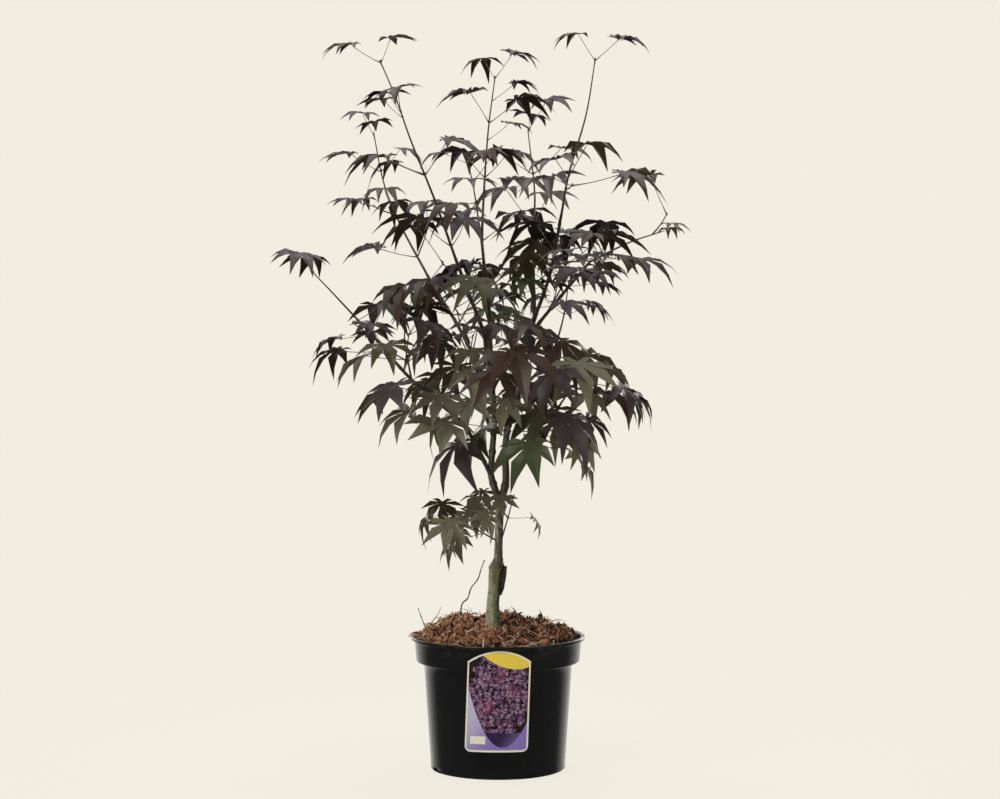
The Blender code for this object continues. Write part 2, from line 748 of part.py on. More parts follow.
def guard_tree(leaf, start):
    """A search tree of the space that a leaf needs, with its stalk from start beyond its foot,
    and with CLEARANCE all round."""
    ring = leaf_outline(leaf.length, CLEARANCE)
    count = len(ring)
    lift = UP * (CLEARANCE + LEAF_CORE / 4.0)
    core = UP * (CLEARANCE + LEAF_CORE / 2.0)
    points = [core, -core, *(p + lift for p in ring), *(p - lift for p in ring)]
    points = [leaf.frame @ point for point in points]
    faces = []
    for i in range(count):
        a, b = 2 + i, 2 + (i + 1) % count
        c, d = a + count, b + count
        faces += [(0, a, b), (1, d, c), (a, c, b), (b, c, d)]
    away = (leaf.middle - leaf.foot).normalized()
    side = away.orthogonal().normalized() * (STALK_RADII[0] + CLEARANCE)
    first = len(points)
    for end in (leaf.foot + away * start, leaf.frame @ Vector((-LEAF_FOOT * leaf.length, 0, 0))):
        points += [end + Quaternion(away, math.radians(turn)) @ side for turn in (0, 120, 240)]
    for i in range(3):
        a, b = first + i, first + (i + 1) % 3
        faces += [(a, b, b + 3), (a, b + 3, a + 3)]
    return BVHTree.FromPolygons(points, faces)


class Leaf(NamedTuple):
    """Where a leaf sits: its blade's frame, its lobe length, and its stalk's two ends."""

    frame: Matrix
    length: float
    foot: Vector
    middle: Vector


def between(pairs, at):
    """The value at this place, from (place, value) pairs with straight lines between them."""
    for (low, first), (high, last) in zip(pairs, pairs[1:]):
        if at <= high:
            return first + (last - first) * max(0.0, at - low) / (high - low)
    return pairs[-1][1]


def place_leaf(foot, heading, bearing, length, roll):
    """A leaf that grows from foot on a twig with this heading, on the side of this bearing."""
    rise = math.radians(between(STALK_RISES, foot.z))
    out = Vector((math.cos(math.radians(bearing)), math.sin(math.radians(bearing)), 0.0))
    square = (out - heading * out.dot(heading)).normalized()
    away = (square * math.cos(rise) + heading * math.sin(rise) + UP * STALK_LIFT).normalized()
    nod = math.radians(min(between(NODS, foot.z), MOST_FOLD - math.degrees(math.asin(away.z))))
    level = (Vector((away.x, away.y, 0.0)) + 0.35 * out).normalized()
    along = level * math.cos(nod) - UP * math.sin(nod)
    across = UP.cross(level)
    frame = Matrix((along, across, along.cross(across))).transposed().to_4x4()
    middle = foot + away * length * STALK_PER_LOBE + along * LEAF_FOOT * length
    frame = Matrix.Translation(middle) @ frame @ Matrix.Rotation(math.radians(roll), 4, "X")
    return Leaf(frame, length, foot, middle)


def is_free(near, far, name, taken):
    """Whether far touches nothing of this spray's own wood, and near nothing else in taken."""
    return not any((far if owner == name else near).overlap(tree) for owner, tree in taken)


def free_twig(name, foot, heading, bearing, length, taken):
    """The first of a side twig's tries that touches nothing in taken, which it joins, or None."""
    rise = math.radians(TWIG_RISE)
    for turn in TRIES:
        out = polar(bearing + turn, 1.0).to_3d()
        square = (out - heading * out.dot(heading)).normalized()
        away = square * math.cos(rise) + heading * math.sin(rise)
        knee = foot + away * length / 2.0
        tip = knee + (away + STALK_LIFT * UP).normalized() * length / 2.0
        twig = Way([foot, knee, tip], (TWIG_RADIUS, SPRAY_TIP), TWIG_STEP)
        clear = Way([foot + away * OWN_START, knee, tip], twig.radii, TWIG_STEP)
        tree = surface_tree([clear], CLEARANCE)
        if is_free(tree, tree, name, taken):
            taken.append((name, tree))
            return twig
    return None


def free_leaf(name, foot, heading, bearing, length, roll, taken):
    """The first of a leaf's tries that touches nothing in taken, which it joins, or None."""
    for turn in TRIES:
        leaf = place_leaf(foot, heading, bearing + turn, length, roll)
        near = guard_tree(leaf, NEAR_START)
        if is_free(near, guard_tree(leaf, OWN_START), name, taken):
            taken.append((None, near))
            return leaf
    return None


def grow_spray(name, spray, way, taken):
    """The leaves and side twigs of a spray. Leaves stand on the stem in opposite pairs, closer and
    smaller toward the tip, and a side twig carries one pair at its own tip."""
    rng = random.Random(spray.seed)
    first = max(spray.first, FOOT_REACH / way.length)
    steps = [INTERNODE_RATIO**i for i in range(spray.pairs - 1)]
    leaves = []
    twigs = []
    for pair in range(spray.pairs):
        along = sum(steps[:pair]) / sum(steps) if steps else 0.0
        foot, heading = way.at(min(LAST_PAIR, first + (1.0 - first) * along))
        size = spray.low + (spray.high - spray.low) * along
        for side in (0.0, 180.0):
            turn = spray.bearing + TURN_PER_PAIR * pair + side
            turn += rng.uniform(-TURN_JITTER, TURN_JITTER)
            length = size * (1.0 + rng.uniform(-SIZE_JITTER, SIZE_JITTER))
            roll = rng.uniform(-BLADE_ROLL, BLADE_ROLL)
            sites = [(foot, heading, turn, length)]
            if side and pair < spray.twigs:
                twig = free_twig(name, foot, heading, turn, TWIG_SHARE * length, taken)
                if twig:
                    twigs.append(twig)
                    length *= TWIG_LEAF_SHARE
                    end = twig.at(LAST_PAIR)
                    sites = [(*end, turn + 90.0, length), (*end, turn - 90.0, length)]
            leaves += filter(None, [free_leaf(name, *site, roll, taken) for site in sites])
    return leaves, twigs


def surface_tree(ways, extra):
    """One search tree of all these stems' surfaces, each thicker by extra."""
    shape = bmesh.new()
    for way in ways:
        radii = [radius * 1.1 + extra for radius in way.radii]
        mesh = tube_mesh(way.points, radii, LIMB_SIDES)
        shape.from_mesh(mesh)
        bpy.data.meshes.remove(mesh)
    tree = BVHTree.FromBMesh(shape)
    shape.free()
    return tree


def keep_largest_shell(mesh):
    """Deletes all but one shell: a hollow sealed by joining is filled, and loose scrap goes."""
    shape = bmesh.new()
    shape.from_mesh(mesh)
    left = set(shape.verts)
    shells = []
    while left:
        front = [left.pop()]
        shell = set(front)
        while front:
            vertex = front.pop()
            near = {edge.other_vert(vertex) for edge in vertex.link_edges} & left
            left -= near
            shell |= near
            front += near
        shells.append(shell)
    largest = max(shells, key=len)
    loose = [vertex for vertex in shape.verts if vertex not in largest]
    bmesh.ops.delete(shape, geom=loose, context="VERTS")
    shape.to_mesh(mesh)
    shape.free()


def build_spray(name, way, grown, ways, parts, cutters):
    """One mass of foliage: its stem, side twigs and stalked leaves, joined to one solid."""
    spray = SPRAYS[name]
    obj = add_object("foliage_" + name, grown_mesh(way, TWIG_SIDES, 0.0), parts)
    cut_clear(obj, spray.parent, ways, cutters)
    pieces = collection("pieces_of_" + name, hidden=True)
    leaves, twigs = grown
    for twig in twigs:
        add_object("side_twig", grown_mesh(twig, TWIG_SIDES, 0.0), pieces)
    for leaf in leaves:
        points, faces = leaf_shape(leaf)
        mesh = bpy.data.meshes.new("leaf")
        mesh.from_pydata(points, [], faces)
        add_object("leaf", mesh, pieces)
    boolean(obj, "UNION", pieces)
    for piece in list(pieces.objects):
        bpy.data.objects.remove(piece)
    bpy.data.collections.remove(pieces)
    keep_largest_shell(obj.data)
    obj.data.materials.clear()
    obj.data.materials.append(material("maple_leaf"))
    return obj


# ---------------------------------------------------------------- the whole plant


def main():
    clear_scene()
    parts = collection("potted_maple")
    cutters = collection("cutters", hidden=True)
    build_pot(parts, cutters)
    build_soil(parts)
    build_label(parts, cutters)

    ways = {"trunk": trunk_way()}
    build_trunk(ways["trunk"], parts, cutters)
    for name, limb in LIMBS.items():
        ways[name] = limb_way(limb, limb.tip, LIMB_STEP, ways)
        build_limb(name, ways, parts, cutters)

    stems = {
        name: limb_way(spray, SPRAY_TIP, TWIG_STEP, ways) for name, spray in SPRAYS.items()
    }
    taken = [(None, surface_tree(ways.values(), CLEARANCE))]
    taken += [(name, surface_tree([stem], CLEARANCE)) for name, stem in stems.items()]
    for name, stem in stems.items():
        grown = grow_spray(name, SPRAYS[name], stem, taken)
        build_spray(name, stem, grown, ways, parts, cutters)


if __name__ == "__main__":
    main()
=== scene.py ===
"""The looks of a young dark-leaved Japanese maple in its nursery pot.

Metres, +Z up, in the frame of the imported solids: the pot stands on the origin and its label faces
-Y. The plant grows again here by the rule that its solids grew by, from the same stems and seeds,
with finer twigs and leaves on the way. Each operator makes one piece or one group of like pieces.
"""

import json
import math
import random
from typing import NamedTuple

import bpy
import numpy as np
from mathutils import Matrix, Quaternion, Vector
from mathutils.bvhtree import BVHTree

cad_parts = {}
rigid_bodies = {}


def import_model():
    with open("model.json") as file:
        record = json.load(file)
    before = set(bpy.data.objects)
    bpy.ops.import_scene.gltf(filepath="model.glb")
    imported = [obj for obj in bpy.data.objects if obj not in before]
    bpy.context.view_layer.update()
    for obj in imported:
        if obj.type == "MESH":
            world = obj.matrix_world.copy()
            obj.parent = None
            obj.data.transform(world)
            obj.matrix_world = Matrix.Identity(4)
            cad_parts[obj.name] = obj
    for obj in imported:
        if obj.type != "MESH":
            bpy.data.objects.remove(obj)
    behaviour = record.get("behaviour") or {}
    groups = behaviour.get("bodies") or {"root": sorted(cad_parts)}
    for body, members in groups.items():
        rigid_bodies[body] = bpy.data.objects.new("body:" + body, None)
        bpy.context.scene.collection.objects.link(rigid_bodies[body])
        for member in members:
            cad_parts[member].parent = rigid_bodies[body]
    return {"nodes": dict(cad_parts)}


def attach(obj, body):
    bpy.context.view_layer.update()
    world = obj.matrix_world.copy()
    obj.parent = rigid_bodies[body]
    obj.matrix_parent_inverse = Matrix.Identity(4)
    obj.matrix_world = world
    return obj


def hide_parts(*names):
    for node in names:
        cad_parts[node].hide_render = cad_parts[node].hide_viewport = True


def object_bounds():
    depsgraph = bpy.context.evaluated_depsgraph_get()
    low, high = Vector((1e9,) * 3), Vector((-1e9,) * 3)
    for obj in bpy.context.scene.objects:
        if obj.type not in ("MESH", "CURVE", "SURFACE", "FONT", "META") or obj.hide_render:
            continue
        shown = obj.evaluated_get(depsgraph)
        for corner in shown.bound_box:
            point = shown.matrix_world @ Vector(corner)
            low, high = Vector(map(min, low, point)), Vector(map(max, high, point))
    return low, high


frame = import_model()
SOLID_BOX = [list(corner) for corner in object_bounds()]

bl_info = {
    "name": "Potted maple",
    "version": (1, 0, 0),
    "blender": (4, 5, 0),
    "location": "3D View > Sidebar > Maple",
    "description": "A young maple with palmate leaves in a nursery pot",
    "category": "Add Mesh",
}

BODY = "root"
UP = Vector((0.0, 0.0, 1.0))

# ---------------------------------------------------------------- the plant's plan

TRUNK_X = -0.0066
# height above the underside, offset along X from TRUNK_X, radius
TRUNK_RINGS = (
    (0.1883, 0.0003, 0.0122),
    (0.1915, 0.0003, 0.0103),
    (0.1980, 0.0002, 0.0093),
    (0.2110, 0.0001, 0.0090),
    (0.2225, 0.0006, 0.0085),
    (0.2440, 0.0026, 0.0088),
    (0.2560, 0.0030, 0.0094),
    (0.2610, 0.0036, 0.0104),
    (0.2660, 0.0036, 0.0116),
    (0.2692, 0.0045, 0.0108),
    (0.2724, 0.0054, 0.0090),
    (0.2780, 0.0070, 0.0064),
    (0.2860, 0.0071, 0.0059),
    (0.3160, 0.0077, 0.0055),
    (0.3430, 0.0084, 0.0056),
    (0.3590, 0.0089, 0.0062),
)
# the cut-off stub beside the graft: foot and tip offsets from TRUNK_X, and radii
STUB_FOOT = (0.0085, -0.0010, 0.2300)
STUB_TIP = (0.0135, -0.0015, 0.2670)
STUB_RADII = (0.0040, 0.0047)


class Limb(NamedTuple):
    """A stem or bough: what it grows from and how far along, its way, and its two radii."""

    parent: str
    share: float
    route: tuple
    foot: float
    tip: float


LIMBS = {
    "left_stem": Limb(
        "trunk", 0.975,
        ((-0.008, -0.004, 0.383), (-0.009, -0.005, 0.403), (-0.005, -0.006, 0.463),
         (-0.009, -0.004, 0.522)), 0.0045, 0.0036,
    ),
    "right_stem": Limb(
        "trunk", 0.975,
        ((0.010, 0.004, 0.378), (0.010, 0.010, 0.429), (0.019, 0.020, 0.495),
         (0.029, 0.025, 0.541), (0.049, 0.030, 0.599)), 0.0050, 0.0034,
    ),
    "centre_bough": Limb(
        "left_stem", 1.0, ((-0.012, 0.010, 0.609), (-0.019, 0.020, 0.672)), 0.0032, 0.0024,
    ),
    "left_tall_bough": Limb(
        "left_stem", 0.90, ((-0.018, -0.030, 0.574), (-0.032, -0.050, 0.614),
                            (-0.055, -0.070, 0.675)), 0.0030, 0.0021,
    ),
    "left_leaning_bough": Limb(
        "left_stem", 0.80, ((-0.027, 0.020, 0.530), (-0.047, 0.050, 0.574),
                            (-0.078, 0.080, 0.625), (-0.097, 0.100, 0.656)), 0.0028, 0.0020,
    ),
    "left_arm": Limb(
        "left_stem", 0.22, ((-0.042, -0.040, 0.454), (-0.079, -0.070, 0.490),
                            (-0.116, -0.080, 0.523), (-0.158, -0.090, 0.572)), 0.0029, 0.0018,
    ),
    "right_middle_bough": Limb(
        "right_stem", 1.0, ((0.047, 0.060, 0.664), (0.046, 0.090, 0.714)), 0.0026, 0.0019,
    ),
    "right_tall_bough": Limb(
        "right_stem", 0.94, ((0.068, -0.010, 0.654), (0.082, -0.060, 0.731)), 0.0027, 0.0019,
    ),
    "right_arm": Limb(
        "right_stem", 0.88, ((0.084, 0.035, 0.626), (0.123, 0.045, 0.672)), 0.0025, 0.0018,
    ),
    "front_bough": Limb(
        "right_stem", 0.34, ((0.022, -0.035, 0.478), (0.030, -0.085, 0.520)), 0.0024, 0.0017,
    ),
    "back_bough": Limb(
        "left_stem", 0.52, ((-0.022, 0.050, 0.485), (-0.038, 0.100, 0.530)), 0.0024, 0.0017,
    ),
    "low_right_bough": Limb(
        "right_stem", 0.22, ((0.045, -0.015, 0.450), (0.078, -0.045, 0.480)), 0.0024, 0.0016,
    ),
    "back_right_bough": Limb(
        "right_stem", 0.55, ((0.055, 0.075, 0.525), (0.080, 0.125, 0.560)), 0.0023, 0.0016,
    ),
}


class Spray(NamedTuple):
    """A mass of foliage. Its stem has a parent, share, route and foot radius like a limb's."""

    parent: str
    share: float
    route: tuple
    foot: float
    pairs: int  # opposite pairs of leaves along the stem
    first: float  # how far along the stem the lowest pair is
    bearing: float  # degrees round from +X to the lowest pair
    low: float  # length of the middle lobe on the lowest leaf
    high: float  # and on the highest
    twigs: int  # side twigs, each in the place of one leaf of a pair, from the lowest pair up
    seed: int


SPRAYS = {
    "left_spire": Spray(
        "left_tall_bough", 1.0,
        ((-0.081, -0.085, 0.749), (-0.111, -0.095, 0.824), (-0.130, -0.100, 0.878),
         (-0.150, -0.100, 0.925)),
        0.0019, 4, 0.06, 110, 0.066, 0.042, 0, 20,
    ),
    "right_spire": Spray(
        "right_tall_bough", 1.0,
        ((0.091, -0.090, 0.783), (0.112, -0.110, 0.856), (0.123, -0.125, 0.925)),
        0.0018, 2, 0.25, 65, 0.057, 0.046, 0, 19,
    ),
    "centre_spire": Spray(
        "centre_bough", 1.0,
        ((-0.021, 0.025, 0.715), (-0.014, 0.036, 0.835), (-0.004, 0.045, 0.918)),
        0.0022, 4, 0.11, 35, 0.062, 0.046, 0, 35,
    ),
    "left_leaning_spray": Spray(
        "left_leaning_bough", 1.0,
        ((-0.134, 0.130, 0.724), (-0.157, 0.150, 0.780), (-0.172, 0.165, 0.850)),
        0.0018, 4, 0.13, 175, 0.049, 0.041, 1, 2,
    ),
    "right_middle_spire": Spray(
        "right_middle_bough", 1.0,
        ((0.050, 0.110, 0.764), (0.041, 0.130, 0.853)),
        0.0018, 3, 0.07, 95, 0.059, 0.047, 0, 24,
    ),
    "left_arm_spray": Spray(
        "left_arm", 1.0,
        ((-0.213, -0.090, 0.631), (-0.237, -0.090, 0.656)),
        0.0017, 2, 0.02, 0, 0.042, 0.045, 0, 5,
    ),
    "right_arm_spray": Spray(
        "right_arm", 1.0,
        ((0.174, 0.050, 0.697), (0.218, 0.050, 0.712)),
        0.0017, 2, 0.17, 160, 0.065, 0.031, 0, 21,
    ),
    "centre_spray": Spray(
        "centre_bough", 0.93,
        ((-0.024, -0.020, 0.714), (-0.031, -0.080, 0.763), (-0.038, -0.110, 0.796)),
        0.0016, 3, 0.62, 10, 0.056, 0.040, 0, 1,
    ),
    "left_arm_low": Spray(
        "left_arm", 0.5,
        ((-0.091, -0.110, 0.503), (-0.087, -0.128, 0.505)),
        0.0014, 3, 0.17, 165, 0.066, 0.066, 1, 14,
    ),
    "left_arm_upper": Spray(
        "left_arm", 0.72,
        ((-0.120, -0.082, 0.569), (-0.118, -0.080, 0.602)),
        0.0014, 2, 0.28, 0, 0.055, 0.063, 1, 30,
    ),
    "left_mid": Spray(
        "left_tall_bough", 0.6,
        ((-0.053, -0.097, 0.650), (-0.070, -0.125, 0.667)),
        0.0015, 2, 0.02, 150, 0.070, 0.057, 1, 22,
    ),
    "right_mid": Spray(
        "right_arm", 0.3,
        ((0.085, -0.005, 0.641), (0.088, -0.025, 0.667)),
        0.0014, 3, 0.68, 5, 0.056, 0.064, 0, 22,
    ),
    "front_right": Spray(
        "right_tall_bough", 0.6,
        ((0.100, -0.085, 0.670), (0.125, -0.115, 0.672)),
        0.0014, 3, 0.80, 170, 0.049, 0.048, 0, 21,
    ),
    "centre_mid": Spray(
        "centre_bough", 0.6,
        ((0.012, -0.045, 0.624), (0.025, -0.085, 0.628)),
        0.0015, 2, 0.02, 170, 0.061, 0.045, 0, 36,
    ),
    "back_right_high": Spray(
        "right_middle_bough", 0.6,
        ((0.086, 0.115, 0.670), (0.110, 0.150, 0.675)),
        0.0015, 3, 0.35, 30, 0.071, 0.036, 1, 19,
    ),
    "back_left": Spray(
        "left_leaning_bough", 0.55,
        ((-0.054, 0.115, 0.598), (-0.060, 0.155, 0.610)),
        0.0015, 3, 0.31, 100, 0.047, 0.056, 1, 3,
    ),
    "right_shoulder": Spray(
        "right_stem", 0.74,
        ((0.072, -0.010, 0.522), (0.100, -0.030, 0.506)),
        0.0015, 4, 0.32, 15, 0.068, 0.066, 0, 8,
    ),
    "right_low": Spray(
        "low_right_bough", 1.0,
        ((0.095, -0.065, 0.507), (0.105, -0.070, 0.520)),
        0.0016, 2, 0.72, 15, 0.060, 0.061, 0, 36,
    ),
    "right_droop": Spray(
        "low_right_bough", 0.5,
        ((0.052, -0.060, 0.447), (0.052, -0.085, 0.450)),
        0.0014, 2, 0.07, 25, 0.063, 0.056, 0, 10,
    ),
    "lower_left": Spray(
        "left_stem", 0.5,
        ((-0.026, -0.045, 0.496), (-0.038, -0.075, 0.535)),
        0.0016, 3, 0.17, 170, 0.059, 0.040, 1, 30,
    ),
    "centre_left": Spray(
        "left_leaning_bough", 0.3,
        ((-0.043, -0.012, 0.558), (-0.050, -0.030, 0.575)),
        0.0016, 2, 0.35, 170, 0.063, 0.066, 0, 31,
    ),
    "centre_right": Spray(
        "right_stem", 0.9,
        ((0.020, -0.010, 0.614), (-0.003, -0.040, 0.637)),
        0.0014, 3, 0.54, 80, 0.030, 0.059, 0, 1,
    ),
    "centre_front": Spray(
        "front_bough", 1.0,
        ((0.016, -0.115, 0.538), (-0.005, -0.135, 0.550)),
        0.0016, 2, 0.85, 105, 0.073, 0.066, 0, 17,
    ),
    "centre_low": Spray(
        "front_bough", 0.45,
        ((0.044, -0.060, 0.493), (0.057, -0.085, 0.507)),
        0.0014, 2, 0.51, 20, 0.033, 0.063, 1, 25,
    ),
    "centre_back": Spray(
        "back_bough", 1.0,
        ((-0.038, 0.130, 0.549), (-0.035, 0.150, 0.570)),
        0.0016, 3, 0.18, 110, 0.065, 0.048, 1, 12,
    ),
    "back_right": Spray(
        "back_right_bough", 1.0,
        ((0.091, 0.150, 0.600), (0.098, 0.165, 0.645)),
        0.0016, 3, 0.02, 95, 0.044, 0.033, 1, 29,
    ),
    "skirt_left": Spray(
        "trunk", 0.66,
        ((-0.034, -0.010, 0.321), (-0.061, -0.018, 0.333)),
        0.0013, 2, 0.35, 150, 0.045, 0.046, 1, 6,
    ),
    "skirt_back": Spray(
        "trunk", 0.8,
        ((-0.024, 0.022, 0.333), (-0.050, 0.036, 0.330)),
        0.0012, 2, 0.68, 140, 0.034, 0.047, 0, 16,
    ),
    "skirt_right": Spray(
        "trunk", 0.6,
        ((0.012, -0.006, 0.329), (0.021, -0.010, 0.363)),
        0.0012, 1, 0.59, 5, 0.036, 0.060, 1, 32,
    ),
}


# ---------------------------------------------------------------- the rule that the plant grows by

STEM_STEP = 0.006
SPRAY_TIP = 0.0010
INTERNODE_RATIO = 0.86
TURN_PER_PAIR = 90.0
TURN_JITTER = 14.0
SIZE_JITTER = 0.12
STALK_PER_LOBE = 0.92
STALK_RISES = ((0.30, 12.0), (0.60, 24.0), (0.95, 46.0))
STALK_LIFT = 0.20
# how far a blade's tip hangs below level, in degrees, at these heights
NODS = ((0.30, 52.0), (0.46, 44.0), (0.58, 16.0), (0.72, 5.0), (0.95, 0.0))
# the most that a stalk's rise and its blade's nod may come to between them
MOST_FOLD = 84.0
BLADE_ROLL = 14.0
TWIG_RISE = 40.0
TWIG_RADIUS = 0.0011
TWIG_SHARE = 0.85
TWIG_LEAF_SHARE = 0.88
LEAF_FOOT = 0.07
# the space that a leaf keeps for itself: bearing and share of length of its lobes' tips and of
# the cuts beside them, its widest place, its arch, and the room all round it
LOBES = ((0.0, 1.00), (38.0, 0.93), (78.0, 0.74))
CUTS = ((19.0, 0.24), (58.0, 0.22), (124.0, 0.34))
SHOULDER = 0.47
SHOULDER_WIDTH = 0.128
ARCH_RISE = 0.16
ARCH_DROOP = 0.52
CLEARANCE = 0.0007
STALK_ROOM = 0.0014
# how far from its foot a stalk must be clear of other pieces, and of its own stem
NEAR_START = 0.0025
OWN_START = 0.0060
FOOT_REACH = 0.0080
LAST_PAIR = 0.99
# turns, in degrees, that a leaf tries when its first place is taken
TRIES = (0, 14, -14, 28, -28, 44, -44, 62, -62)


def smooth_line(knots, step):
    """Points about step apart on a curve through the knots. Between knots b and c, with a before
    them and d after, it is half of 2b + (c-a)t + (2a-5b+4c-d)t^2 + (3b-a-3c+d)t^3."""
    knots = np.array([tuple(knot) for knot in knots])
    ends = np.vstack([2 * knots[0] - knots[1], knots, 2 * knots[-1] - knots[-2]])
    spans = []
    for a, b, c, d in zip(ends, ends[1:], ends[2:], ends[3:]):
        count = max(1, round(np.linalg.norm(c - b) / step))
        t = np.arange(count)[:, None] / count
        spans.append(
            0.5 * (2 * b + (c - a) * t + (2 * a - 5 * b + 4 * c - d) * t**2
                   + (3 * b - a - 3 * c + d) * t**3)
        )
    return np.vstack([*spans, knots[-1:]])


class Way:
    """A smooth line through some points, with a radius that runs evenly along it."""

    def __init__(self, knots, radii, step=STEM_STEP):
        self.points = smooth_line(knots, step)
        spans = np.linalg.norm(np.diff(self.points, axis=0), axis=1)
        self.reach = np.concatenate([[0.0], np.cumsum(spans)])
        self.length = self.reach[-1]
        self.radii = np.interp(self.reach, [0.0, self.length], radii)

    def places(self, shares):
        """The places at these shares of the length."""
        want = np.asarray(shares) * self.length
        return np.stack([np.interp(want, self.reach, axis) for axis in self.points.T], axis=-1)

    def at(self, share):
        """Place and heading at this share of the length."""
        ends = self.places([max(0.0, share - 0.01), min(1.0, share + 0.01)])
        return Vector(self.places(share)), Vector(ends[1] - ends[0]).normalized()


def trunk_way():
    """The trunk's middle line, with its rings' own radii."""
    heights, shifts, radii = np.array(TRUNK_RINGS).T
    way = Way(np.stack([TRUNK_X + shifts, 0.0 * shifts, heights], axis=1), (1.0, 1.0), 1.0)
    way.radii = radii
    return way


def limb_way(limb, tip_radius, ways):
    """The line of a limb, from the middle of its parent."""
    foot = ways[limb.parent].places(limb.share)
    return Way([foot, *limb.route], (limb.foot, tip_radius))


def polar(bearing, reach=1.0):
    angle = math.radians(bearing)
    return Vector((math.cos(angle), math.sin(angle), 0.0)) * reach


def between(pairs, at):
    """The value at this place, from (place, value) pairs with straight lines between them."""
    return float(np.interp(at, *zip(*pairs)))


class Leaf(NamedTuple):
    """Where a leaf sits: its blade's frame, its middle lobe's length, its stalk's two ends, and
    the name of the stem that it belongs to."""

    frame: Matrix
    length: float
    foot: Vector
    middle: Vector
    stem: str


def place_leaf(foot, heading, bearing, length, roll, stem):
    """A leaf that grows from foot on a twig with this heading, on the side of this bearing."""
    rise = math.radians(between(STALK_RISES, foot.z))
    out = polar(bearing)
    square = (out - heading * out.dot(heading)).normalized()
    away = (square * math.cos(rise) + heading * math.sin(rise) + UP * STALK_LIFT).normalized()
    nod = math.radians(min(between(NODS, foot.z), MOST_FOLD - math.degrees(math.asin(away.z))))
    level = (Vector((away.x, away.y, 0.0)) + 0.35 * out).normalized()
    along = level * math.cos(nod) - UP * math.sin(nod)
    across = UP.cross(level)
    turn = Matrix((along, across, along.cross(across))).transposed().to_4x4()
    middle = foot + away * length * STALK_PER_LOBE + along * LEAF_FOOT * length
    turn = Matrix.Translation(middle) @ turn @ Matrix.Rotation(math.radians(roll), 4, "X")
    return Leaf(turn, length, foot, middle, stem)


def room_outline():
    """The outline of a leaf's room as two lists: its points for a middle lobe of length one, and
    how each moves for each unit of margin."""
    half = []
    for (bearing, share), (cut, depth) in zip(LOBES, CUTS):
        side = polar(bearing + 90.0)
        shoulder = polar(bearing, share * SHOULDER)
        width = side * share * SHOULDER_WIDTH
        if bearing > 0.0:
            half.append((shoulder - width, -side))
        half += [(polar(bearing, share), polar(bearing)), (shoulder + width, side)]
        half.append((polar(cut, depth), polar(cut)))
    half.append((Vector((-LEAF_FOOT, 0.0, 0.0)), Vector((0.0, 1.0, 0.0))))
    flip = Matrix.Diagonal((1.0, -1.0, 1.0))
    ring = [(flip @ place, flip @ shift) for place, shift in reversed(half[1:])] + half
    return [np.array([tuple(pair[part]) for pair in ring]) for part in (0, 1)]


ROOM, ROOM_SHIFT = room_outline()


def leaf_room(leaf, start):
    """A search tree of the space that a leaf needs, with its stalk from start beyond its foot."""
    ring = leaf.length * ROOM + CLEARANCE * ROOM_SHIFT
    reach = np.linalg.norm(ring, axis=1)
    ring[:, 2] = ARCH_RISE * reach - ARCH_DROOP * reach**2 / leaf.length
    lift = np.array([0.0, 0.0, CLEARANCE])
    local = np.vstack([1.7 * lift, -1.7 * lift, ring + lift, ring - lift])
    turn = np.array(leaf.frame)
    points = (local @ turn[:3, :3].T + turn[:3, 3]).tolist()
    count = len(ring)
    faces = []
    for i in range(count):
        a, b = 2 + i, 2 + (i + 1) % count
        c, d = a + count, b + count
        faces += [(0, a, b), (1, d, c), (a, c, b), (b, c, d)]
    away = (leaf.middle - leaf.foot).normalized()
    side = away.orthogonal().normalized() * STALK_ROOM
    first = len(points)
    for end in (leaf.foot + away * start, leaf.frame @ Vector((-LEAF_FOOT * leaf.length, 0, 0))):
        points += [end + Quaternion(away, math.radians(turn)) @ side for turn in (0, 120, 240)]
    for i in range(3):
        a, b = first + i, first + (i + 1) % 3
        faces += [(a, b, b + 3), (a, b + 3, a + 3)]
    return BVHTree.FromPolygons(points, faces)


def wood_room(points, radii):
    """A search tree of a stem's surface with the clearance round it."""
    shell = tubes([points], [np.asarray(radii) * 1.1 + CLEARANCE], 8)
    return BVHTree.FromPolygons(shell.points.tolist(), shell.quads.tolist())


class Room(NamedTuple):
    """Space that is taken: whose wood it is, if wood, a search tree, and a ball round it."""

    owner: str
    tree: BVHTree
    middle: Vector
    radius: float

    def meets(self, other):
        apart = (self.middle - other.middle).length
        return apart < self.radius + other.radius and bool(self.tree.overlap(other.tree))


def room_of(owner, tree, ends):
    """A room whose ball holds everything within reach of its two ends."""
    middle = (ends[0] + ends[1]) / 2.0
    return Room(owner, tree, middle, (ends[1] - ends[0]).length * 0.5 + 0.012)


def leaf_rooms(leaf):
    """A leaf's room against other pieces, and against its own stem's wood."""
    middle = leaf.middle.lerp(leaf.foot, 0.3)
    return [
        Room(None, leaf_room(leaf, start), middle, 1.5 * leaf.length)
        for start in (NEAR_START, OWN_START)
    ]


def is_free(near, far, name, taken):
    """Whether far touches nothing of this stem's own wood, and near nothing else in taken."""
    return not any((far if room.owner == name else near).meets(room) for room in taken)


def free_twig(name, foot, heading, bearing, length, taken):
    """The first of a side twig's tries that touches nothing in taken, which it joins, or None."""
    rise = math.radians(TWIG_RISE)
    for turn in TRIES:
        out = polar(bearing + turn)
        square = (out - heading * out.dot(heading)).normalized()
        away = square * math.cos(rise) + heading * math.sin(rise)
        knee = foot + away * length / 2.0
        tip = knee + (away + STALK_LIFT * UP).normalized() * length / 2.0
        twig = Way([foot, knee, tip], (TWIG_RADIUS, SPRAY_TIP))
        clear = [tuple(foot + away * OWN_START), tuple(knee), tuple(tip)]
        room = room_of(name, wood_room(clear, [SPRAY_TIP] * 3), (foot, tip))
        if is_free(room, room, name, taken):
            taken.append(room)
            return twig
    return None


